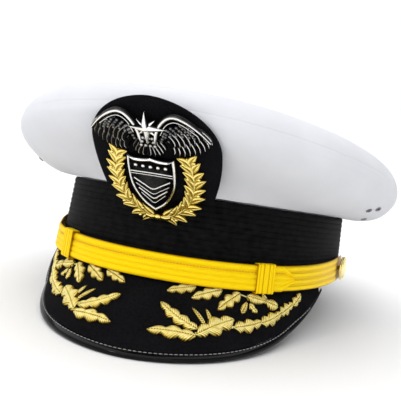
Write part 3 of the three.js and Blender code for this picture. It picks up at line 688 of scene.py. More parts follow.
def relief(shape, centre, half, base, height, bright=(0.0,), spread=0.9, groove=0.0, rib=0.0):
    """A raised strip along a line on the mount. It is domed, and ridges stand along it at the
    shares of its half width given by `bright`, where a painted highlight lies; elsewhere it is
    painted in shade."""
    path = np.asarray(centre, float)
    t = unit(np.gradient(path, axis=0))
    side = np.stack([-t[:, 1], t[:, 0]], -1)
    c = np.linspace(-1, 1, 17)
    half = np.broadcast_to(half, (len(path),))
    x = path[:, 0, None] + side[:, 0, None] * c * half[:, None]
    h = path[:, 1, None] + side[:, 1, None] * c * half[:, None]
    size = np.clip(half / max(half.max(), 1e-6), 0, 1)[:, None] ** 0.5
    round_ = np.sqrt(np.clip(1 - c ** 2, 0, 1))
    shine = np.clip(sum(np.exp(-((c - k) / spread) ** 2) for k in bright), 0, 1)
    rise = (height * round_ - groove * round_ * (1 - shine) + rib * shine)[None, :] * size
    # Painted light: a highlight along the ridges, brightest on the dome's top, and painted shade
    # elsewhere.
    tone = 0.06 + 0.94 * shine * (0.35 + 0.65 * round_ ** 0.5)
    shape.slab(on_badge(x, h, base + np.maximum(rise, 0.02)), on_badge(x, h, base - 0.5),
               tone=np.broadcast_to(tone, x.shape), uv=stack(x, h))


def feather(shape, root, tip, width, base, droop):
    """A curved feather, with painted shade along its vane, a bright quill and a painted highlight on
    its lower edge.
    """
    r, t = np.array(root, float), np.array(tip, float)
    d = t - r
    length = np.linalg.norm(d)
    side = np.array([-d[1], d[0]]) / length * (-1 if d[0] < 0 else 1)
    k = np.linspace(0, 1, 26)
    centre = r + np.outer(k, d) + np.outer(np.sin(math.pi * k) * droop * length, side)
    half = width / 2 * (0.55 + 0.45 * np.sin(math.pi * np.clip(0.1 + 0.7 * k, 0, 1)))
    half = half * np.sqrt(1 - smoothstep(0.8, 1.02, k) * 0.97)
    low_edge = -0.78 if d[0] < 0 else 0.78
    relief(shape, centre, np.maximum(half, 0.1), base, 0.7, (low_edge,), 0.2, 0.25, 0.3)


def wing(shape, side):
    """A spread wing: long feathers, coverts and scales under a thick leading edge."""
    m = np.array([side, 1.0])
    feathers = (
        ([(20.0, 45.5), (17.6, 45.0), (15.2, 43.6), (13.0, 41.4), (11.2, 38.8), (9.6, 35.8)],
         [(31.6, 34.8), (29.0, 31.6), (25.4, 29.2), (21.0, 27.8), (16.6, 27.2), (12.4, 28.0)],
         9, 3.3, 2.6),
        ([(20.0, 46.8), (17.0, 46.6), (14.2, 44.8), (12.0, 42.0), (10.4, 39.2)],
         [(27.8, 38.0), (24.6, 35.4), (20.8, 33.6), (16.8, 32.6), (13.0, 32.8)],
         7, 3.0, 3.3))
    for starts, ends, count, width, base in feathers:
        for i, (a, b) in enumerate(zip(curve(starts, count), curve(ends, count))):
            feather(shape, a * m, b * m, width, base + 0.07 * i, 0.1)
    for row, (count, drop) in enumerate(((8, 9.4), (8, 7.6), (7, 5.8), (6, 4.2))):
        line = curve([(22.0, 47.2), (18.4, 49.0), (15, 49.4), (11.6, 47.2), (9.6, 43)], count + 2)
        for p in line[1:-1]:
            scale = p + unit(p - np.array([16.0, 60.0])) * drop
            dome(shape, *scale * m, 0.95, 3.8 + 0.12 * row, 0.6, bright=0.55)
    edge = curve([(3.6, 33.0), (4.6, 40.0), (7.2, 46.0), (11.2, 50.2), (15.4, 50.9), (20.6, 48.2),
                  (26.2, 43.0), (31.4, 36.4)], 64)
    k = np.linspace(0, 1, 64)
    half = 1.2 * smoothstep(-0.05, 0.12, k) * (1 - 0.6 * smoothstep(0.5, 1.0, k))
    relief(shape, edge * m, half, 3.4, 1.6, spread=0.75)
    inner = curve([(7.0, 40.0), (9.6, 45.4), (12.6, 47.9), (15.6, 48.3), (20, 46), (25.6, 41.0)], 44)
    relief(shape, inner * m, 0.32, 4.1, 0.6)


def compass_star(shape, cx, cy, long, short, base):
    """Eight ridged points about a raised centre, every other one longer."""
    k = np.linspace(0.04, 1, 16)
    for i in range(8):
        reach, wide, lift = (long, 2.7, 0.5) if i % 2 == 0 else (short, 2.1, 0.0)
        turn = TAU * i / 8
        ray = np.array([cx, cy]) + np.outer(k * reach, [math.sin(turn), math.cos(turn)])
        relief(shape, ray, wide * (1 - k) + 0.2, base + lift, 1.7, (0.0, 0.45), 0.4)
    dome(shape, cx, cy, 1.9, base + 1.2, 1.2)


def dome(shape, x, high, radius, base, height, sink=0.3, bright=1.0):
    """A small round pellet, scale or berry, with painted shade round its foot and a painted
    highlight on top.
    """
    a = np.linspace(0, math.pi / 2, 6)
    profile = [(0, -sink), (radius, -sink),
               *[(radius * math.cos(x), height * math.sin(x)) for x in a[:-1]], (0, height)]
    shape.turned(profile, on_badge(x, high, base), OUT, 16,
                 tone=np.array([0.05, 0.05, 0.05, 0.2, 0.6, 0.9, 1, 1]) * bright)


def shield(shape):
    """A plain heater shield: a border with a painted highlight, a bar across its chief, pellets and
    two chevrons.
    """
    chief = curve([(0, 24.6), (4.5, 23.6), (9, 23.4), (12.6, 25.0)], 12)
    flank = curve([(12.6, 25.0), (12.8, 17), (12.0, 7), (9.2, -0.5), (5.2, -6.2), (0, -10.4)], 40)
    half = np.concatenate([chief, flank[1:]])
    line = np.concatenate([half, (half * [-1, 1])[-2:0:-1]])
    centre, base = np.array([0, 9.6]), 2.6
    # Each ring's scale, height and painted light: a highlight on the border's top, painted shade
    # where it steps down and over the field.
    levels = [(1.0, -0.4, 0.1), (1.0, 0.9, 0.2), (0.985, 1.9, 0.9), (0.955, 2.3, 1.0),
              (0.925, 2.3, 1.0), (0.9, 1.9, 0.5), (0.885, 1.4, 0.05), (0.8, 1.5, 0.08),
              (0.6, 1.75, 0.14), (0.4, 1.95, 0.2), (0.2, 2.05, 0.22), (0.03, 2.08, 0.22)]
    rows = [on_badge(*(centre + (line - centre) * k).T, base + high) for k, high, _ in levels]
    ends = [on_badge(*centre, base + high) for high in (-0.4, 2.08)]
    shades = [tone for *_, tone in levels]
    shape.wrapped(np.stack(rows, 1), *ends,
                  tone=np.concatenate([np.tile(shades, len(line)), [0.1, 0.22]]))
    across = np.linspace(-11.3, 11.3, 40)
    for high, half_width, height in ((15.0, 0.5, 0.9), (13.4, 0.3, 0.7)):
        bar = np.stack([across, high + 0.6 * np.cos(across / 8)], -1)
        relief(shape, bar, half_width, base + 1.5, height)
    for x in np.linspace(-8.0, 8.0, 5):
        dome(shape, x, 19.4, 1.15, base + 1.7, 1.0)
    for drop, thick, wide in ((8.6, 0.6, 9.8), (5.4, 0.34, 9.0), (2.4, 0.6, 7.8), (-0.6, 0.34, 6.6)):
        chevron = curve([(-wide, drop + 2.2), (-wide / 2, drop - 0.9), (0, drop - 3.6),
                         (wide / 2, drop - 0.9), (wide, drop + 2.2)], 50)
        relief(shape, chevron, thick, base + 1.5, 1.0)


def neck_plume(shape):
    """Fanned feathers between the star and the shield, joining the two wings."""
    for drop, count, wide in ((0, 7, 8.4), (3.2, 6, 7.0), (6.2, 5, 5.4)):
        for x in np.linspace(-wide, wide, count):
            root = np.array([x * 0.55, 35.6 - drop * 0.6])
            tip = np.array([x, 27.2 - drop * 0.2 + 0.05 * x * x * (0.4 if drop else 0.6)])
            feather(shape, root, tip, 2.6, 2.7 + 0.16 * drop, 0.0)
    for row in range(3):
        for x in np.linspace(-3.6 + 0.6 * row, 3.6 - 0.6 * row, 4 - row % 2):
            dome(shape, x, 32.6 + 2.3 * row, 1.1, 3.9, 0.8, bright=0.7)


def turned_by(direction, angle):
    """A flat direction turned to the left."""
    x, y = direction
    return np.array([x * math.cos(angle) - y * math.sin(angle),
                     x * math.sin(angle) + y * math.cos(angle)])


def laurel(shape, side):
    """A branch of laurel with paired leaves and berries, curving up beside the shield."""
    m = np.array([side, 1.0])
    line = curve([(-3.0, -16.6), (4, -16.0), (11.4, -12.6), (17.4, -6), (20.4, 3), (21.0, 12),
                  (19.6, 20), (18.2, 25.2)], 90)
    over = 0.3 if side > 0 else 0.0
    relief(shape, line * m, np.linspace(0.95, 0.5, 90), 1.1 + over, 1.2, spread=0.8)
    t = unit(np.gradient(line, axis=0))
    k = np.linspace(0, 1, 24)
    blade = 2.25 * np.sin(math.pi * np.clip(k, 0.01, 0.99) ** 0.8) ** 0.8 + 0.05
    for pair, i in enumerate(range(8, 88, 8)):
        p, d = line[i], t[i]
        for hand in (1, -1):
            aim = turned_by(d, hand * math.radians(40))
            bow = np.outer(np.sin(math.pi * k) * 0.9 * -hand, turned_by(aim, math.pi / 2))
            spine = p + np.outer(k * (9.4 - 0.15 * pair), aim) + bow
            lift = 1.3 + 0.4 * (pair % 2) + (0.2 if hand > 0 else 0)
            relief(shape, spine * m, blade, lift, 1.0, (-0.5, 0.5), 0.36, 0.5)
        if pair % 2:
            for hand in (1, -1):
                berry = p + d * 2.4 + turned_by(d, math.pi / 2) * hand * 2.8
                dome(shape, *berry * m, 1.05, 2.3, 1.1, 0.7)


def ribbon(shape):
    """The ribbon where the two branches cross."""
    for side in (-1, 1):
        line = curve([(0, -16.0), (side * 3.6, -17.2), (side * 7.0, -16.4)], 18)
        relief(shape, line, 1.3, 2.0, 0.9, (-0.6, 0.6), 0.3)
    dome(shape, 0, -16.2, 2.0, 2.3, 1.5, 0.7)


# ---- Strap -------------------------------------------------------------------------------------

def strap_z(th):
    """Height of the strap's middle: lowest in front, rising to its buttons."""
    c = 1 - np.cos(th)
    return 8.4 + 4.6 * c + 6.6 * c * c


def settled(th, side, drop):
    """How far a strap length has come down towards the band beyond the end of the other."""
    return drop * smoothstep(math.radians(54), math.radians(64), side * th)


def strap_shape(side, near, far, ribs, drop=0.0, row=None):
    """A length of ribbed lace: rounded over its button, pointed at the other end."""
    th = np.linspace(STRAP_START * side, -STRAP_TAIL * side, 460)
    c = np.linspace(-1, 1, 61)
    near_tail = np.clip(np.abs(th - th[-1]) * RX / (STRAP_H / 2), 0, 1)
    near_button = np.clip(np.abs(th - th[0]) * RY / (STRAP_H / 2), 0.01, 1)
    half = STRAP_H / 2 * lerp(3.0 / STRAP_H, 1, near_tail) * np.sqrt(1 - (1 - near_button) ** 2)
    height = -0.05 + 0.42 * sum(np.exp(-((c - r) / 0.17) ** 4) for r in ribs)
    height = height - 0.5 * smoothstep(0.93, 1.0, np.abs(c))
    if row is not None:
        height = height - 0.1 * np.exp(-((c - row) / 0.03) ** 2)
    cord = 0.04 * np.sin(th * RX * TAU / 1.3)[:, None] * np.ones_like(c)
    pressed = smoothstep(math.radians(78), math.radians(82.5), side * th)[:, None]
    height = lerp(height[None, :] + cord, -0.4, pressed)
    down = settled(th, side, drop)[:, None]
    across = c[None, :] * half[:, None]
    z = strap_z(th)[:, None] + across
    # Painted light: a highlight on the ribs, painted shade in the grooves, along the stitch row and
    # at the edges.
    tone = np.clip(0.56 + height * 0.8, 0.05, 1)
    return Shape().slab(band(th[:, None], z, far - 0.3 + height - down),
                        band(th[:, None], z, near - down),
                        uv=stack((th * RX)[:, None], across), tone=tone)


def strap_row():
    """The row of stitches along the folded outer lace."""
    th = np.linspace(-math.radians(50), math.radians(47), 500)
    path = band(th, strap_z(th) + STITCH_ROW * STRAP_H / 2, OUTER_LACE_FAR - 0.2)
    return stitches(path, band_normal(th), 1.1, 0.7, 0.22)


def keeper_shape(side):
    """A flat loop of lace round the strap, ribbed across, with rounded edges."""
    th = side * KEEPER_AT
    centre, normal = band(th, strap_z(th)), band_normal(th)
    along = unit(band(th + 0.01, strap_z(th + 0.01)) - band(th - 0.01, strap_z(th - 0.01)))
    rise = unit(np.cross(normal, along))
    rise = rise * np.sign(rise[2])
    near = INNER_LACE_NEAR - KEEPER_ROOM + KEEPER_BEND
    far = OUTER_LACE_FAR + KEEPER_ROOM - KEEPER_BEND
    high = STRAP_H / 2 + KEEPER_ROOM_Z - KEEPER_BEND
    corners = [(far, high), (near, high), (near, -high), (far, -high)]
    section = []
    for i, here in enumerate(corners):
        after = corners[(i + 1) % len(corners)]
        turn = np.radians(np.linspace(90 * i, 90 * i + 90, 6))
        section += [(*here, math.cos(a), math.sin(a)) for a in turn]
        for k in np.linspace(0, 1, 12 if i % 2 else 5)[1:-1]:
            section.append((*lerp(np.array(here), np.array(after), k), *section[-1][2:]))
    across = np.linspace(-1, 1, 41)
    ribs = (0.16 - 0.32 * np.exp(-((np.abs(across) - 0.3) / 0.07) ** 2)
            - 0.26 * np.exp(-((np.abs(across) - 0.72) / 0.06) ** 2)
            - 0.4 * smoothstep(0.93, 1.0, np.abs(across)))
    back_again = across[::-4]
    shares = np.concatenate([across, back_again]) * KEEPER_HALF
    reach = KEEPER_BEND + np.concatenate([KEEPER_WALL + ribs, 0 * back_again])
    rows = [centre + np.outer(x + ca * reach, normal) + np.outer(z + sa * reach, rise)
            + np.outer(shares, along) for x, z, ca, sa in section]
    # Painted light: painted shade in the rib grooves, at the edges and inside, lighter on the ribs.
    tone = np.clip(np.concatenate([0.5 + ribs * 2, 0 * back_again + HIDDEN_SIDE_SHADE]), 0.1, 1)
    uv = stack((np.arange(len(rows)) * 1.1)[:, None], shares[None, :])
    return Shape().loop(np.array(rows), uv=uv, tone=np.tile(tone, len(rows)))


def button_shape(side):
    """A domed button with a roped border and a plain raised ring."""
    th = side * BUTTON_AT
    base, axis = band(th, BUTTON_Z, BUTTON_OUT), band_normal(th)
    cap = [(5.75 * math.cos(a), 1.2 + 2.0 * math.sin(a))
           for a in np.linspace(0, math.pi / 2, 14)[:-1]]
    profile = [(0, 0), (6.3, 0), (6.9, 0.2), (7.2, 0.5), (7.25, 0.8), (7.05, 1.15), (6.6, 1.4),
               (6.1, 1.4), (5.9, 1.15), *cap, (0, 3.2)]
    shape = Shape().turned(profile, base, axis, 72)
    side_way = unit(np.cross(axis, [0, 0, 1.0]))
    a = around(480)
    out = np.outer(np.cos(a), side_way) + np.outer(np.sin(a), np.cross(axis, side_way))
    for w in (30 * a, 30 * a + math.pi):
        rope = out * (6.6 + 0.26 * np.cos(w))[:, None] + axis * (0.26 * np.sin(w) + 1.45)[:, None]
        shape.loop(tube(base + rope, 0.32, axis, 6, closed=True))
    return shape


# ---- Materials ---------------------------------------------------------------------------------

class Nodes:
    """Short calls for building a material's node tree."""

    def __init__(self, name, base, roughness, metallic=0.0, **sockets):
        self.material = bpy.data.materials.new(name)
        self.material.use_nodes = True
        self.tree = self.material.node_tree
        self.shader = self.tree.nodes["Principled BSDF"]
        self.set("Base Color", (*base, 1))
        self.set("Roughness", roughness)
        self.set("Metallic", metallic)
        for key, value in sockets.items():
            self.set(key.replace("_", " "), value)

    def set(self, socket, value):
        self.shader.inputs[socket].default_value = value

    def node(self, kind, inputs=None, **settings):
        n = self.tree.nodes.new(kind)
        for key, value in settings.items():
            setattr(n, key, value)
        for key, value in (inputs or {}).items():
            if isinstance(value, bpy.types.NodeSocket):
                self.tree.links.new(value, n.inputs[key])
            else:
                n.inputs[key].default_value = value
        return n

    def math(self, operation, a, b=0.0, c=0.0):
        """One of Blender's math operations."""
        return self.node("ShaderNodeMath", {0: a, 1: b, 2: c}, operation=operation).outputs[0]

    def objects(self):
        """A place on the piece, in metres."""
        return self.node("ShaderNodeTexCoord").outputs["Object"]

    def lengths(self):
        """Lengths along and across the piece, in millimetres."""
        return self.node("ShaderNodeUVMap", uv_map="lengths").outputs[0]

    def xyz(self, vector):
        return self.node("ShaderNodeSeparateXYZ", {0: vector}).outputs

    def noise(self, vector, scale, detail=3.0, rough=0.5, stretch=None):
        if stretch:
            vector = self.node("ShaderNodeMapping", {"Vector": vector, "Scale": stretch}).outputs[0]
        return self.node("ShaderNodeTexNoise", {"Vector": vector, "Scale": scale, "Detail": detail,
                                                "Roughness": rough}).outputs[0]

    def wave(self, x, pitch):
        """A sine along a length, from 0 to 1; both lengths are in the same unit."""
        turn = self.math("SINE", self.math("MULTIPLY", x, TAU / pitch))
        return self.math("MULTIPLY_ADD", turn, 0.5, 0.5)

    def color(self, value, *stops):
        """Base colour from a value, by (position, colour) stops."""
        n = self.node("ShaderNodeValToRGB", {0: value})
        e = n.color_ramp.elements
        while len(e) < len(stops):
            e.new(0.5)
        for item, (pos, color) in zip(e, stops):
            item.position = pos
            item.color = (*color, 1)
        self.tree.links.new(n.outputs[0], self.shader.inputs["Base Color"])

    def tone(self):
        """Painted light, from 0, painted shade in the hollows, to 1, a painted highlight where a
        place stands out.
        """
        return self.node("ShaderNodeAttribute", attribute_name="tone").outputs["Fac"]

    def rough(self, value, low, high):
        """Roughness between two figures."""
        out = self.node("ShaderNodeMapRange", {0: value, 3: low, 4: high}).outputs[0]
        self.tree.links.new(out, self.shader.inputs["Roughness"])

    def bump(self, height, distance, strength, after=None):
        """Fine relief, its distance in millimetres."""
        inputs = {"Height": height, "Distance": distance / 1000, "Strength": strength}
        if after is not None:
            inputs["Normal"] = after
        out = self.node("ShaderNodeBump", inputs).outputs[0]
        self.tree.links.new(out, self.shader.inputs["Normal"])
        return out


def white_cloth():
    m = Nodes("white_cover_cloth", (0.70, 0.70, 0.72), 0.75, Specular_IOR_Level=0.12)
    p = m.objects()
    x, y, z = m.xyz(p)
    twill = m.wave(m.math("ADD", m.math("ADD", x, y), z), 0.0011)
    fine = m.noise(p, 1500, 2)
    slow = m.noise(p, 38, 3)
    m.color(slow, (0.3, (0.66, 0.67, 0.705)), (0.7, (0.70, 0.71, 0.745)))
    n = m.bump(m.math("MULTIPLY_ADD", fine, 0.5, twill), 0.035, 0.35)
    m.bump(slow, 0.6, 0.25, n)
    return m.material


def mohair():
    m = Nodes("ribbed_mohair", (0.005, 0.005, 0.006), 0.6, Specular_IOR_Level=0.05)
    p = m.lengths()
    hair = m.noise(p, 1.0, 4, 0.6, stretch=(0.35, 6.0, 1))
    spots = m.noise(m.objects(), 300, 2)
    m.color(m.math("MULTIPLY", hair, spots),
            (0.15, (0.0015, 0.0015, 0.0018)), (0.5, (0.010, 0.010, 0.011)))
    m.rough(hair, 0.5, 0.8)
    m.bump(hair, 0.12, 0.8)
    return m.material


def black_cloth(name, scale):
    m = Nodes(name, (0.004, 0.004, 0.005), 0.85, Specular_IOR_Level=0.03)
    p = m.objects()
    felt = m.noise(p, scale, 4, 0.65)
    patch = m.noise(p, 60, 3)
    m.color(m.math("MULTIPLY_ADD", patch, 0.3, felt),
            (0.35, (0.0012, 0.0012, 0.0016)), (0.85, (0.0075, 0.0072, 0.0085)))
    m.bump(felt, 0.1, 0.7)
    return m.material


def patent():
    m = Nodes("patent_leather", (0.0015, 0.0015, 0.002), 0.12, Specular_IOR_Level=0.14)
    p = m.objects()
    ripple = m.noise(p, 90, 2)
    m.rough(m.noise(p, 500, 3), 0.06, 0.14)
    m.bump(ripple, 0.25, 0.35)
    return m.material


def leather(name, dark, light, rough, scale):
    m = Nodes(name, light, rough, Coat_Weight=0.08)
    p = m.objects()
    grain = m.node("ShaderNodeTexVoronoi", {"Vector": p, "Scale": scale},
                   feature="DISTANCE_TO_EDGE").outputs[0]
    patch = m.noise(p, 45, 4)
    m.color(patch, (0.3, dark), (0.7, light))
    m.rough(patch, rough - 0.08, rough + 0.12)
    m.bump(m.math("MINIMUM", grain, 0.25), 0.12, 0.8)
    return m.material


def bullion():
    m = Nodes("gold_bullion", (0.75, 0.5, 0.16), 0.36, 0.75)
    u, v, _ = m.xyz(m.lengths())
    coil = m.wave(m.math("SUBTRACT", u, m.math("MULTIPLY", m.math("ABSOLUTE", v), 0.9)), 0.95)
    twist = m.wave(m.math("ADD", m.math("MULTIPLY", u, 0.6), m.math("ABSOLUTE", v)), 0.34)
    uneven = m.math("MULTIPLY_ADD", m.noise(m.objects(), 420, 3), 1.3, 0.5)
    # Painted shade in the hollows and veins, painted highlight on crowns and threads, with random
    # unevenness.
    m.color(m.math("MULTIPLY", m.tone(), uneven),
            (0.1, (0.04, 0.018, 0.001)), (0.3, (0.34, 0.21, 0.012)),
            (0.5, (0.88, 0.64, 0.09)), (0.8, (1.0, 0.93, 0.42)))
    m.rough(m.noise(m.objects(), 900, 2), 0.16, 0.5)
    n = m.bump(coil, 0.16, 0.6)
    m.bump(twist, 0.07, 0.7, n)
    return m.material


def lace(name, metallic, rough, warm=0.0):
    m = Nodes(name, (0.9, 0.55, 0.04), rough, metallic, Specular_IOR_Level=0.06)
    u, v, _ = m.xyz(m.lengths())
    weft = m.wave(u, 0.62)
    warp = m.wave(v, 0.78)
    line = m.noise(m.lengths(), 1.0, 3, 0.6, stretch=(0.18, 3.2, 1))
    # Painted shade in the grooves and at the edges, painted highlight on the ribs, with random lines
    # along the weave.
    m.color(m.math("MULTIPLY", m.tone(), m.math("MULTIPLY_ADD", line, 0.9, 0.45)),
            (0.1, (0.36 - warm * 0.2, 0.16 - warm * 0.05, 0.0)),
            (0.4, (0.92 - warm * 0.3, 0.56 - warm * 0.2, 0.0)),
            (0.85, (1.0 - warm * 0.1, 0.74 - warm * 0.12, 0.006)))
    m.rough(line, rough - 0.1, rough + 0.15)
    n = m.bump(m.math("MULTIPLY_ADD", weft, 0.6, warp), 0.07, 0.7)
    m.bump(line, 0.12, 0.5, n)
    return m.material


def polished(name, dark, mid, light, rough, mid_stop):
    m = Nodes(name, mid, rough, 1.0)
    p = m.objects()
    blot = m.noise(p, 260, 4, 0.6)
    # Painted shade in the hollows and painted highlight on the ridges, mixed with random blots.
    value = m.math("MULTIPLY_ADD", blot, 0.25, m.math("SUBTRACT", m.tone(), 0.12))
    m.color(value, (0.12, dark), (mid_stop, mid), (0.85, light))
    m.rough(m.math("SUBTRACT", 1.0, m.tone()), rough, rough + 0.35)
    m.bump(m.noise(p, 700, 2), 0.03, 0.4)
    return m.material


def plain_metal(name, base, rough):
    m = Nodes(name, base, rough, 1.0)
    p = m.objects()
    m.rough(m.noise(p, 240, 3), rough * 0.75, rough * 1.5)
    m.color(m.noise(p, 90, 4), (0.3, [c * 0.78 for c in base]), (0.7, base))
    m.bump(m.noise(p, 900, 2), 0.02, 0.4)
    return m.material


def fibre():
    m = Nodes("fibre_board", (0.14, 0.1, 0.06), 0.8)
    p = m.objects()
    f = m.noise(p, 220, 5, 0.7)
    m.color(f, (0.3, (0.09, 0.06, 0.035)), (0.7, (0.2, 0.15, 0.09)))
    m.bump(f, 0.15, 0.6)
    return m.material


def satin():
    m = Nodes("lining_satin", (0.68, 0.67, 0.62), 0.42, Sheen_Weight=0.3)
    p = m.objects()
    x, y, _ = m.xyz(p)
    m.color(m.noise(p, 26, 3), (0.3, (0.60, 0.59, 0.54)), (0.7, (0.72, 0.71, 0.66)))
    weave = m.wave(m.math("ADD", x, y), 0.0008)
    m.bump(m.math("MULTIPLY_ADD", m.noise(p, 30, 3), 8.0, weave), 0.08, 0.6)
    return m.material


def vinyl():
    m = Nodes("clear_vinyl", (0.82, 0.85, 0.88), 0.12, Coat_Weight=0.6, Alpha=0.35)
    m.bump(m.noise(m.objects(), 40, 3), 0.5, 0.5)
    return m.material


def thread(name, base):
    m = Nodes(name, base, 0.45, Sheen_Weight=0.2)
    p = m.objects()
    m.color(m.noise(p, 900, 2), (0.3, [c * 0.6 for c in base]), (0.7, base))
    m.bump(m.noise(p, 1600, 2), 0.05, 0.6)
    return m.material


WHITE, MOHAIR = white_cloth(), mohair()
MOUNT_CLOTH, VISOR_CLOTH = black_cloth("mount_felt", 1100), black_cloth("visor_cloth", 800)
PATENT, BULLION = patent(), bullion()
BLACK_LEATHER = leather("visor_lining_leather", (0.006, 0.006, 0.006), (0.016, 0.015, 0.015),
                        0.42, 900)
BROWN = leather("sweatband_leather", (0.11, 0.036, 0.012), (0.2, 0.075, 0.028), 0.45, 800)
LACE, INNER_LACE = lace("gold_lace", 0.3, 0.5), lace("bright_gold_lace", 0.85, 0.3, 0.45)
# Dark, mid and light colours: painted shade in the hollows through to a painted highlight on the
# ridges.
GILT = polished("gilt", (0.03, 0.014, 0.001), (0.5, 0.32, 0.03), (1.0, 0.84, 0.28), 0.18, 0.4)
SILVER = polished("silver", (0.003, 0.003, 0.0035), (0.10, 0.10, 0.105), (0.95, 0.94, 0.92),
                  0.2, 0.5)
BLACKED = plain_metal("blackened_steel", (0.01, 0.01, 0.011), 0.6)
BUTTON_GILT = polished("button_gilt", (0.24, 0.14, 0.02), (0.8, 0.58, 0.14), (1.0, 0.86, 0.42),
                       0.14, 0.5)
STEEL = plain_metal("sprung_steel", (0.42, 0.43, 0.45), 0.32)
BOARD, SATIN, VINYL = fibre(), satin(), vinyl()
TAN_THREAD = thread("tan_thread", (0.4, 0.2, 0.08))
EYELET = thread("eyelet_thread", (0.2, 0.2, 0.21))
GOLD_THREAD = thread("gold_thread", (0.7, 0.42, 0.01))
GREY_THREAD = thread("waxed_thread", (0.32, 0.32, 0.34))

# ---- Pieces ------------------------------------------------------------------------------------

for number, name in enumerate(("front_left", "rear_left", "rear_right", "front_right")):
    quarter_shape(number).make(f"cover_panel_{name}", WHITE, "cover", "white_cloth",
                               (f"cover_quarter_{name}",))
crown_shape().make("cover_crown", WHITE, "cover", "white_cloth", ("cover_top",))
band_ring([(-5.2, 39), (-4.2, 39), (-4.0, 41), (-4.2, 43), (-4.2, 48.3), (-5.2, 48.3)]).make(
    "cover_neck_band", WHITE, "cover", "white_cloth", ("cover_neck",))
under_top(6, 0.8, 0.94, 22, 144).make("crown_lining", SATIN, "cover", "lining_satin",
                                      ("cover_lining",))
under_top(9, 0.6, 0.5, 12, 96).make("sweat_shield", VINYL, "cover", "clear_vinyl",
                                    ("cover_sweat_shield",))

band_ring(mohair_section()).make("ribbed_band", MOHAIR, "frame", "black_mohair", ("mohair_band",))
band_ring([(-3.6, 0.2), (-3.3, 0), (-2.1, 0), (-1.8, 0.2), (-1.8, 46.8), (-3.6, 46.8)]).make(
    "stiff_band", BOARD, "frame", "fibre_board", ("frame_shell",))
band_ring([(-5.2, 3.0), (-5.1, 2.7), (-4.2, 2.6), (-4.0, 3.0), (-4.0, 36.8), (-4.3, 37),
           (-5.1, 36.9), (-5.2, 36.6)]).make("sweatband_leather", BROWN, "frame", "brown_leather",
                                             ("sweatband",))
th = around(240)
cord = band(th, 1.3 + temple_rise(th, 1.3), -4.7)
Shape().loop(tube(cord, 0.9, (0, 0, 1), 12, closed=True)).make(
    "sweatband_cord", BROWN, "frame", "brown_leather", ("sweatband_reed",))
th = np.linspace(0, TAU, 500)
for name, z in (("lower", 4.4), ("upper", 35.4)):
    row = band(th, z + temple_rise(th, z), -5.24)
    stitches(row, -band_normal(th), 2.2, 1.0, 0.22).make(
        f"sweatband_stitches_{name}", TAN_THREAD, "frame", "brown_leather")

visor_layer(0, 1.8, 68).make("visor_top", VISOR_CLOTH, "frame", "black_cloth", ("visor_board",))
visor_layer(2.1, 0.8, 60).make("visor_underside", BLACK_LEATHER, "frame", "black_cloth",
                               ("visor_lining",))
binding_shape().make("visor_edge_binding", PATENT, "frame", "patent_leather", ("visor_binding",))
th = np.linspace(-math.radians(62), math.radians(62), 700)
down = visor_width(th) - binding_width(th) + 0.75
stitches(visor_point(th, down, 0.42 + 0 * th), visor_frame(th, down)[1], 1.9, 0.7, 0.24).make(
    "visor_stitches", GREY_THREAD, "frame", "patent_leather")
SIDES = ((1, "left"), (-1, "right"))
for side, name in SIDES:
    spray(side).make(f"bullion_spray_{name}", BULLION, "frame", "bullion_gold",
                     (f"embroidery_{name}",))

pad = mount_shape().make("badge_mount_pad", MOUNT_CLOTH, "frame", "black_cloth", ("badge_mount",))
silver = Shape()
for side in (-1, 1):
    wing(silver, side)
neck_plume(silver)
compass_star(silver, 0, 43.6, 9.4, 6.6, 4.0)
shield(silver)
silver.make("winged_star_badge", SILVER, "frame", "silver_metal", ("badge_wings",), smooth=50)
gold = Shape()
for side in (-1, 1):
    laurel(gold, side)
ribbon(gold)
gold.make("laurel_branches", GILT, "frame", "gilt_metal", ("badge_laurel",), smooth=50)

strap_shape(-1, OUTER_LACE_NEAR, OUTER_LACE_FAR, (-0.72, -0.3, 0.12, 0.75), 1.3, STITCH_ROW).make(
    "lace_strap_outer", LACE, "strap", "gold_lace", ("strap_outer",))
strap_shape(1, INNER_LACE_NEAR, INNER_LACE_FAR, (-0.75, -0.27, 0.27, 0.75)).make(
    "lace_strap_inner", INNER_LACE, "strap", "gold_lace", ("strap_inner",))
strap_row().make("lace_strap_stitches", GOLD_THREAD, "strap", "gold_lace")
for side, name in SIDES:
    keeper_shape(side).make(f"lace_keeper_{name}", LACE, f"keeper_{name}", "gold_lace",
                            (f"strap_keeper_{name}",))
    button_shape(side).make(f"domed_button_{name}", BUTTON_GILT, f"side_button_{name}", "gilt_metal",
                            (f"button_{name}",))
    frame["nodes"][f"button_stud_{name}"].data.materials[0] = BUTTON_GILT

# Each eyelet's angle and its place up the wall, on both sides.
EYELETS = {"low": (84, 0.3), "front": (75, 0.48), "rear": (79, 0.57)}
for (side, name), (where, (angle, along)) in product(SIDES, EYELETS.items()):
    th = np.array(side * math.radians(angle))
    at = on_cover(th, wall_profile, along, -0.05)
    out = unit(at - on_cover(th, wall_profile, along, 0.4))
    a = unit(np.cross(out, [0, 1.0, 0]))
    k = around(40)
    ring = np.outer(np.cos(k), a) + np.outer(np.sin(k), np.cross(out, a))
    Shape().loop(tube(at + out * 0.22 + ring * 1.35, 0.5, out, 10, closed=True, flat=0.8)).make(
        f"eyelet_{name}_{where}", EYELET, "cover", "black_cloth", (f"cover_eyelet_{name}_{where}",))
    # A black disc over each eyelet's middle: painted shade where the hole is, for the cloth under it
    # is not cut.
    Shape().turned([(0, 0.02), (0.95, 0.02), (0.95, 0.12), (0, 0.12)], at, out, 24).make(
        f"eyelet_hole_shade_{name}_{where}", VISOR_CLOTH, "cover", "black_cloth")

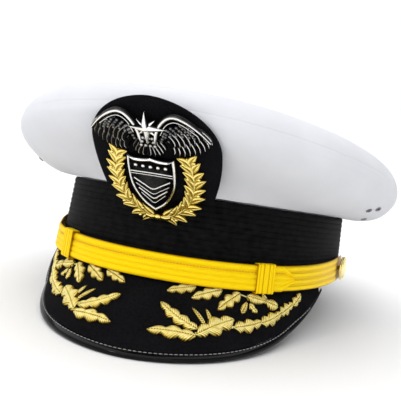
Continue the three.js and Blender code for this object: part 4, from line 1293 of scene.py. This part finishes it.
for node, material in (("mount_bracket", BLACKED), ("badge_washer", STEEL),
                       ("badge_post", BUTTON_GILT), ("badge_nut", BUTTON_GILT),
                       ("cover_hoop", STEEL), ("cover_stay", STEEL)):
    frame["nodes"][node].data.materials[0] = material

# ---- Floor, light and camera -------------------------------------------------------------------

floor_mesh = bpy.data.meshes.new("floor")
floor_mesh.from_pydata([(-4, -4, 0), (4, -4, 0), (4, 4, 0), (-4, 4, 0)], [], [(0, 1, 2, 3)])
floor = add_object("floor", floor_mesh)
pale = Nodes("pale_floor", (0.86, 0.86, 0.86), 0.7, Specular_IOR_Level=0.0)
floor_mesh.materials.append(pale.material)

world = bpy.data.worlds.new("studio")
bpy.context.scene.world = world
world.use_nodes = True
sky = world.node_tree
level = sky.nodes.new("ShaderNodeSeparateXYZ")
sky.links.new(sky.nodes.new("ShaderNodeTexCoord").outputs["Generated"], level.inputs[0])
fade = sky.nodes.new("ShaderNodeMapRange")
fade.interpolation_type = "SMOOTHSTEP"
sky.links.new(level.outputs["Z"], fade.inputs["Value"])
for socket, value in (("From Min", 0.24), ("From Max", 0.5), ("To Min", 1.02), ("To Max", 0.22)):
    fade.inputs[socket].default_value = value
sky.nodes["Background"].inputs["Color"].default_value = (1, 1, 1, 1)
sky.links.new(fade.outputs[0], sky.nodes["Background"].inputs["Strength"])


def softbox(name, location, target, size, power):
    data = bpy.data.lights.new(name, "AREA")
    data.shape = "RECTANGLE"
    data.size, data.size_y = size
    data.energy = power
    light = add_object(name, data)
    light.location = location
    light.rotation_euler = (Vector(target) - Vector(location)).to_track_quat("-Z", "Y").to_euler()


softbox("key", (-0.55, -1.0, 0.95), (0, -0.05, 0.06), (0.14, 0.14), 1.2)
softbox("strip", (0.05, -1.1, 0.75), (0, -0.1, 0.03), (1.3, 0.014), 2.2)
overhead = bpy.data.lights.new("overhead", "SUN")
overhead.energy = 3.05
overhead.angle = math.radians(100)
add_object("overhead", overhead).rotation_euler = (math.radians(-6), math.radians(-8), 0)

AZIMUTH, ELEVATION, ROLL = math.radians(14.16), math.radians(0.771), math.radians(9.044)
DISTANCE, AIM_RIGHT, AIM_UP, AIM_Z = 550.0, -6.139, -2.688, 45.0
FOCAL_PX, LONG_SIDE_PX, SENSOR = 837.65, 409.0, 36.0
away = np.array([math.sin(AZIMUTH) * math.cos(ELEVATION), -math.cos(AZIMUTH) * math.cos(ELEVATION),
                 math.sin(ELEVATION)])
right = np.array([math.cos(AZIMUTH), math.sin(AZIMUTH), 0])
eye = np.array([0, 0, AIM_Z]) + away * DISTANCE
aim = np.array([0, 0, AIM_Z]) + right * AIM_RIGHT + np.array([0, 0, 1.0]) * AIM_UP
forward = unit(aim - eye)
side_way = unit(np.cross(forward, [0, 0, 1.0]))
rise = np.cross(side_way, forward)
cam_x = side_way * math.cos(ROLL) + rise * math.sin(ROLL)
cam_y = -side_way * math.sin(ROLL) + rise * math.cos(ROLL)
axes = ROT @ np.stack([cam_x, cam_y, -forward], 1)
camera_data = bpy.data.cameras.new("camera")
camera_data.sensor_width = SENSOR
camera_data.lens = FOCAL_PX * SENSOR / LONG_SIDE_PX
camera = add_object("camera", camera_data)
camera.matrix_world = Matrix([[*axes[i], place(eye)[i]] for i in range(3)] + [[0, 0, 0, 1]])
bpy.context.scene.camera = camera
bpy.context.scene.view_settings.view_transform = "Standard"
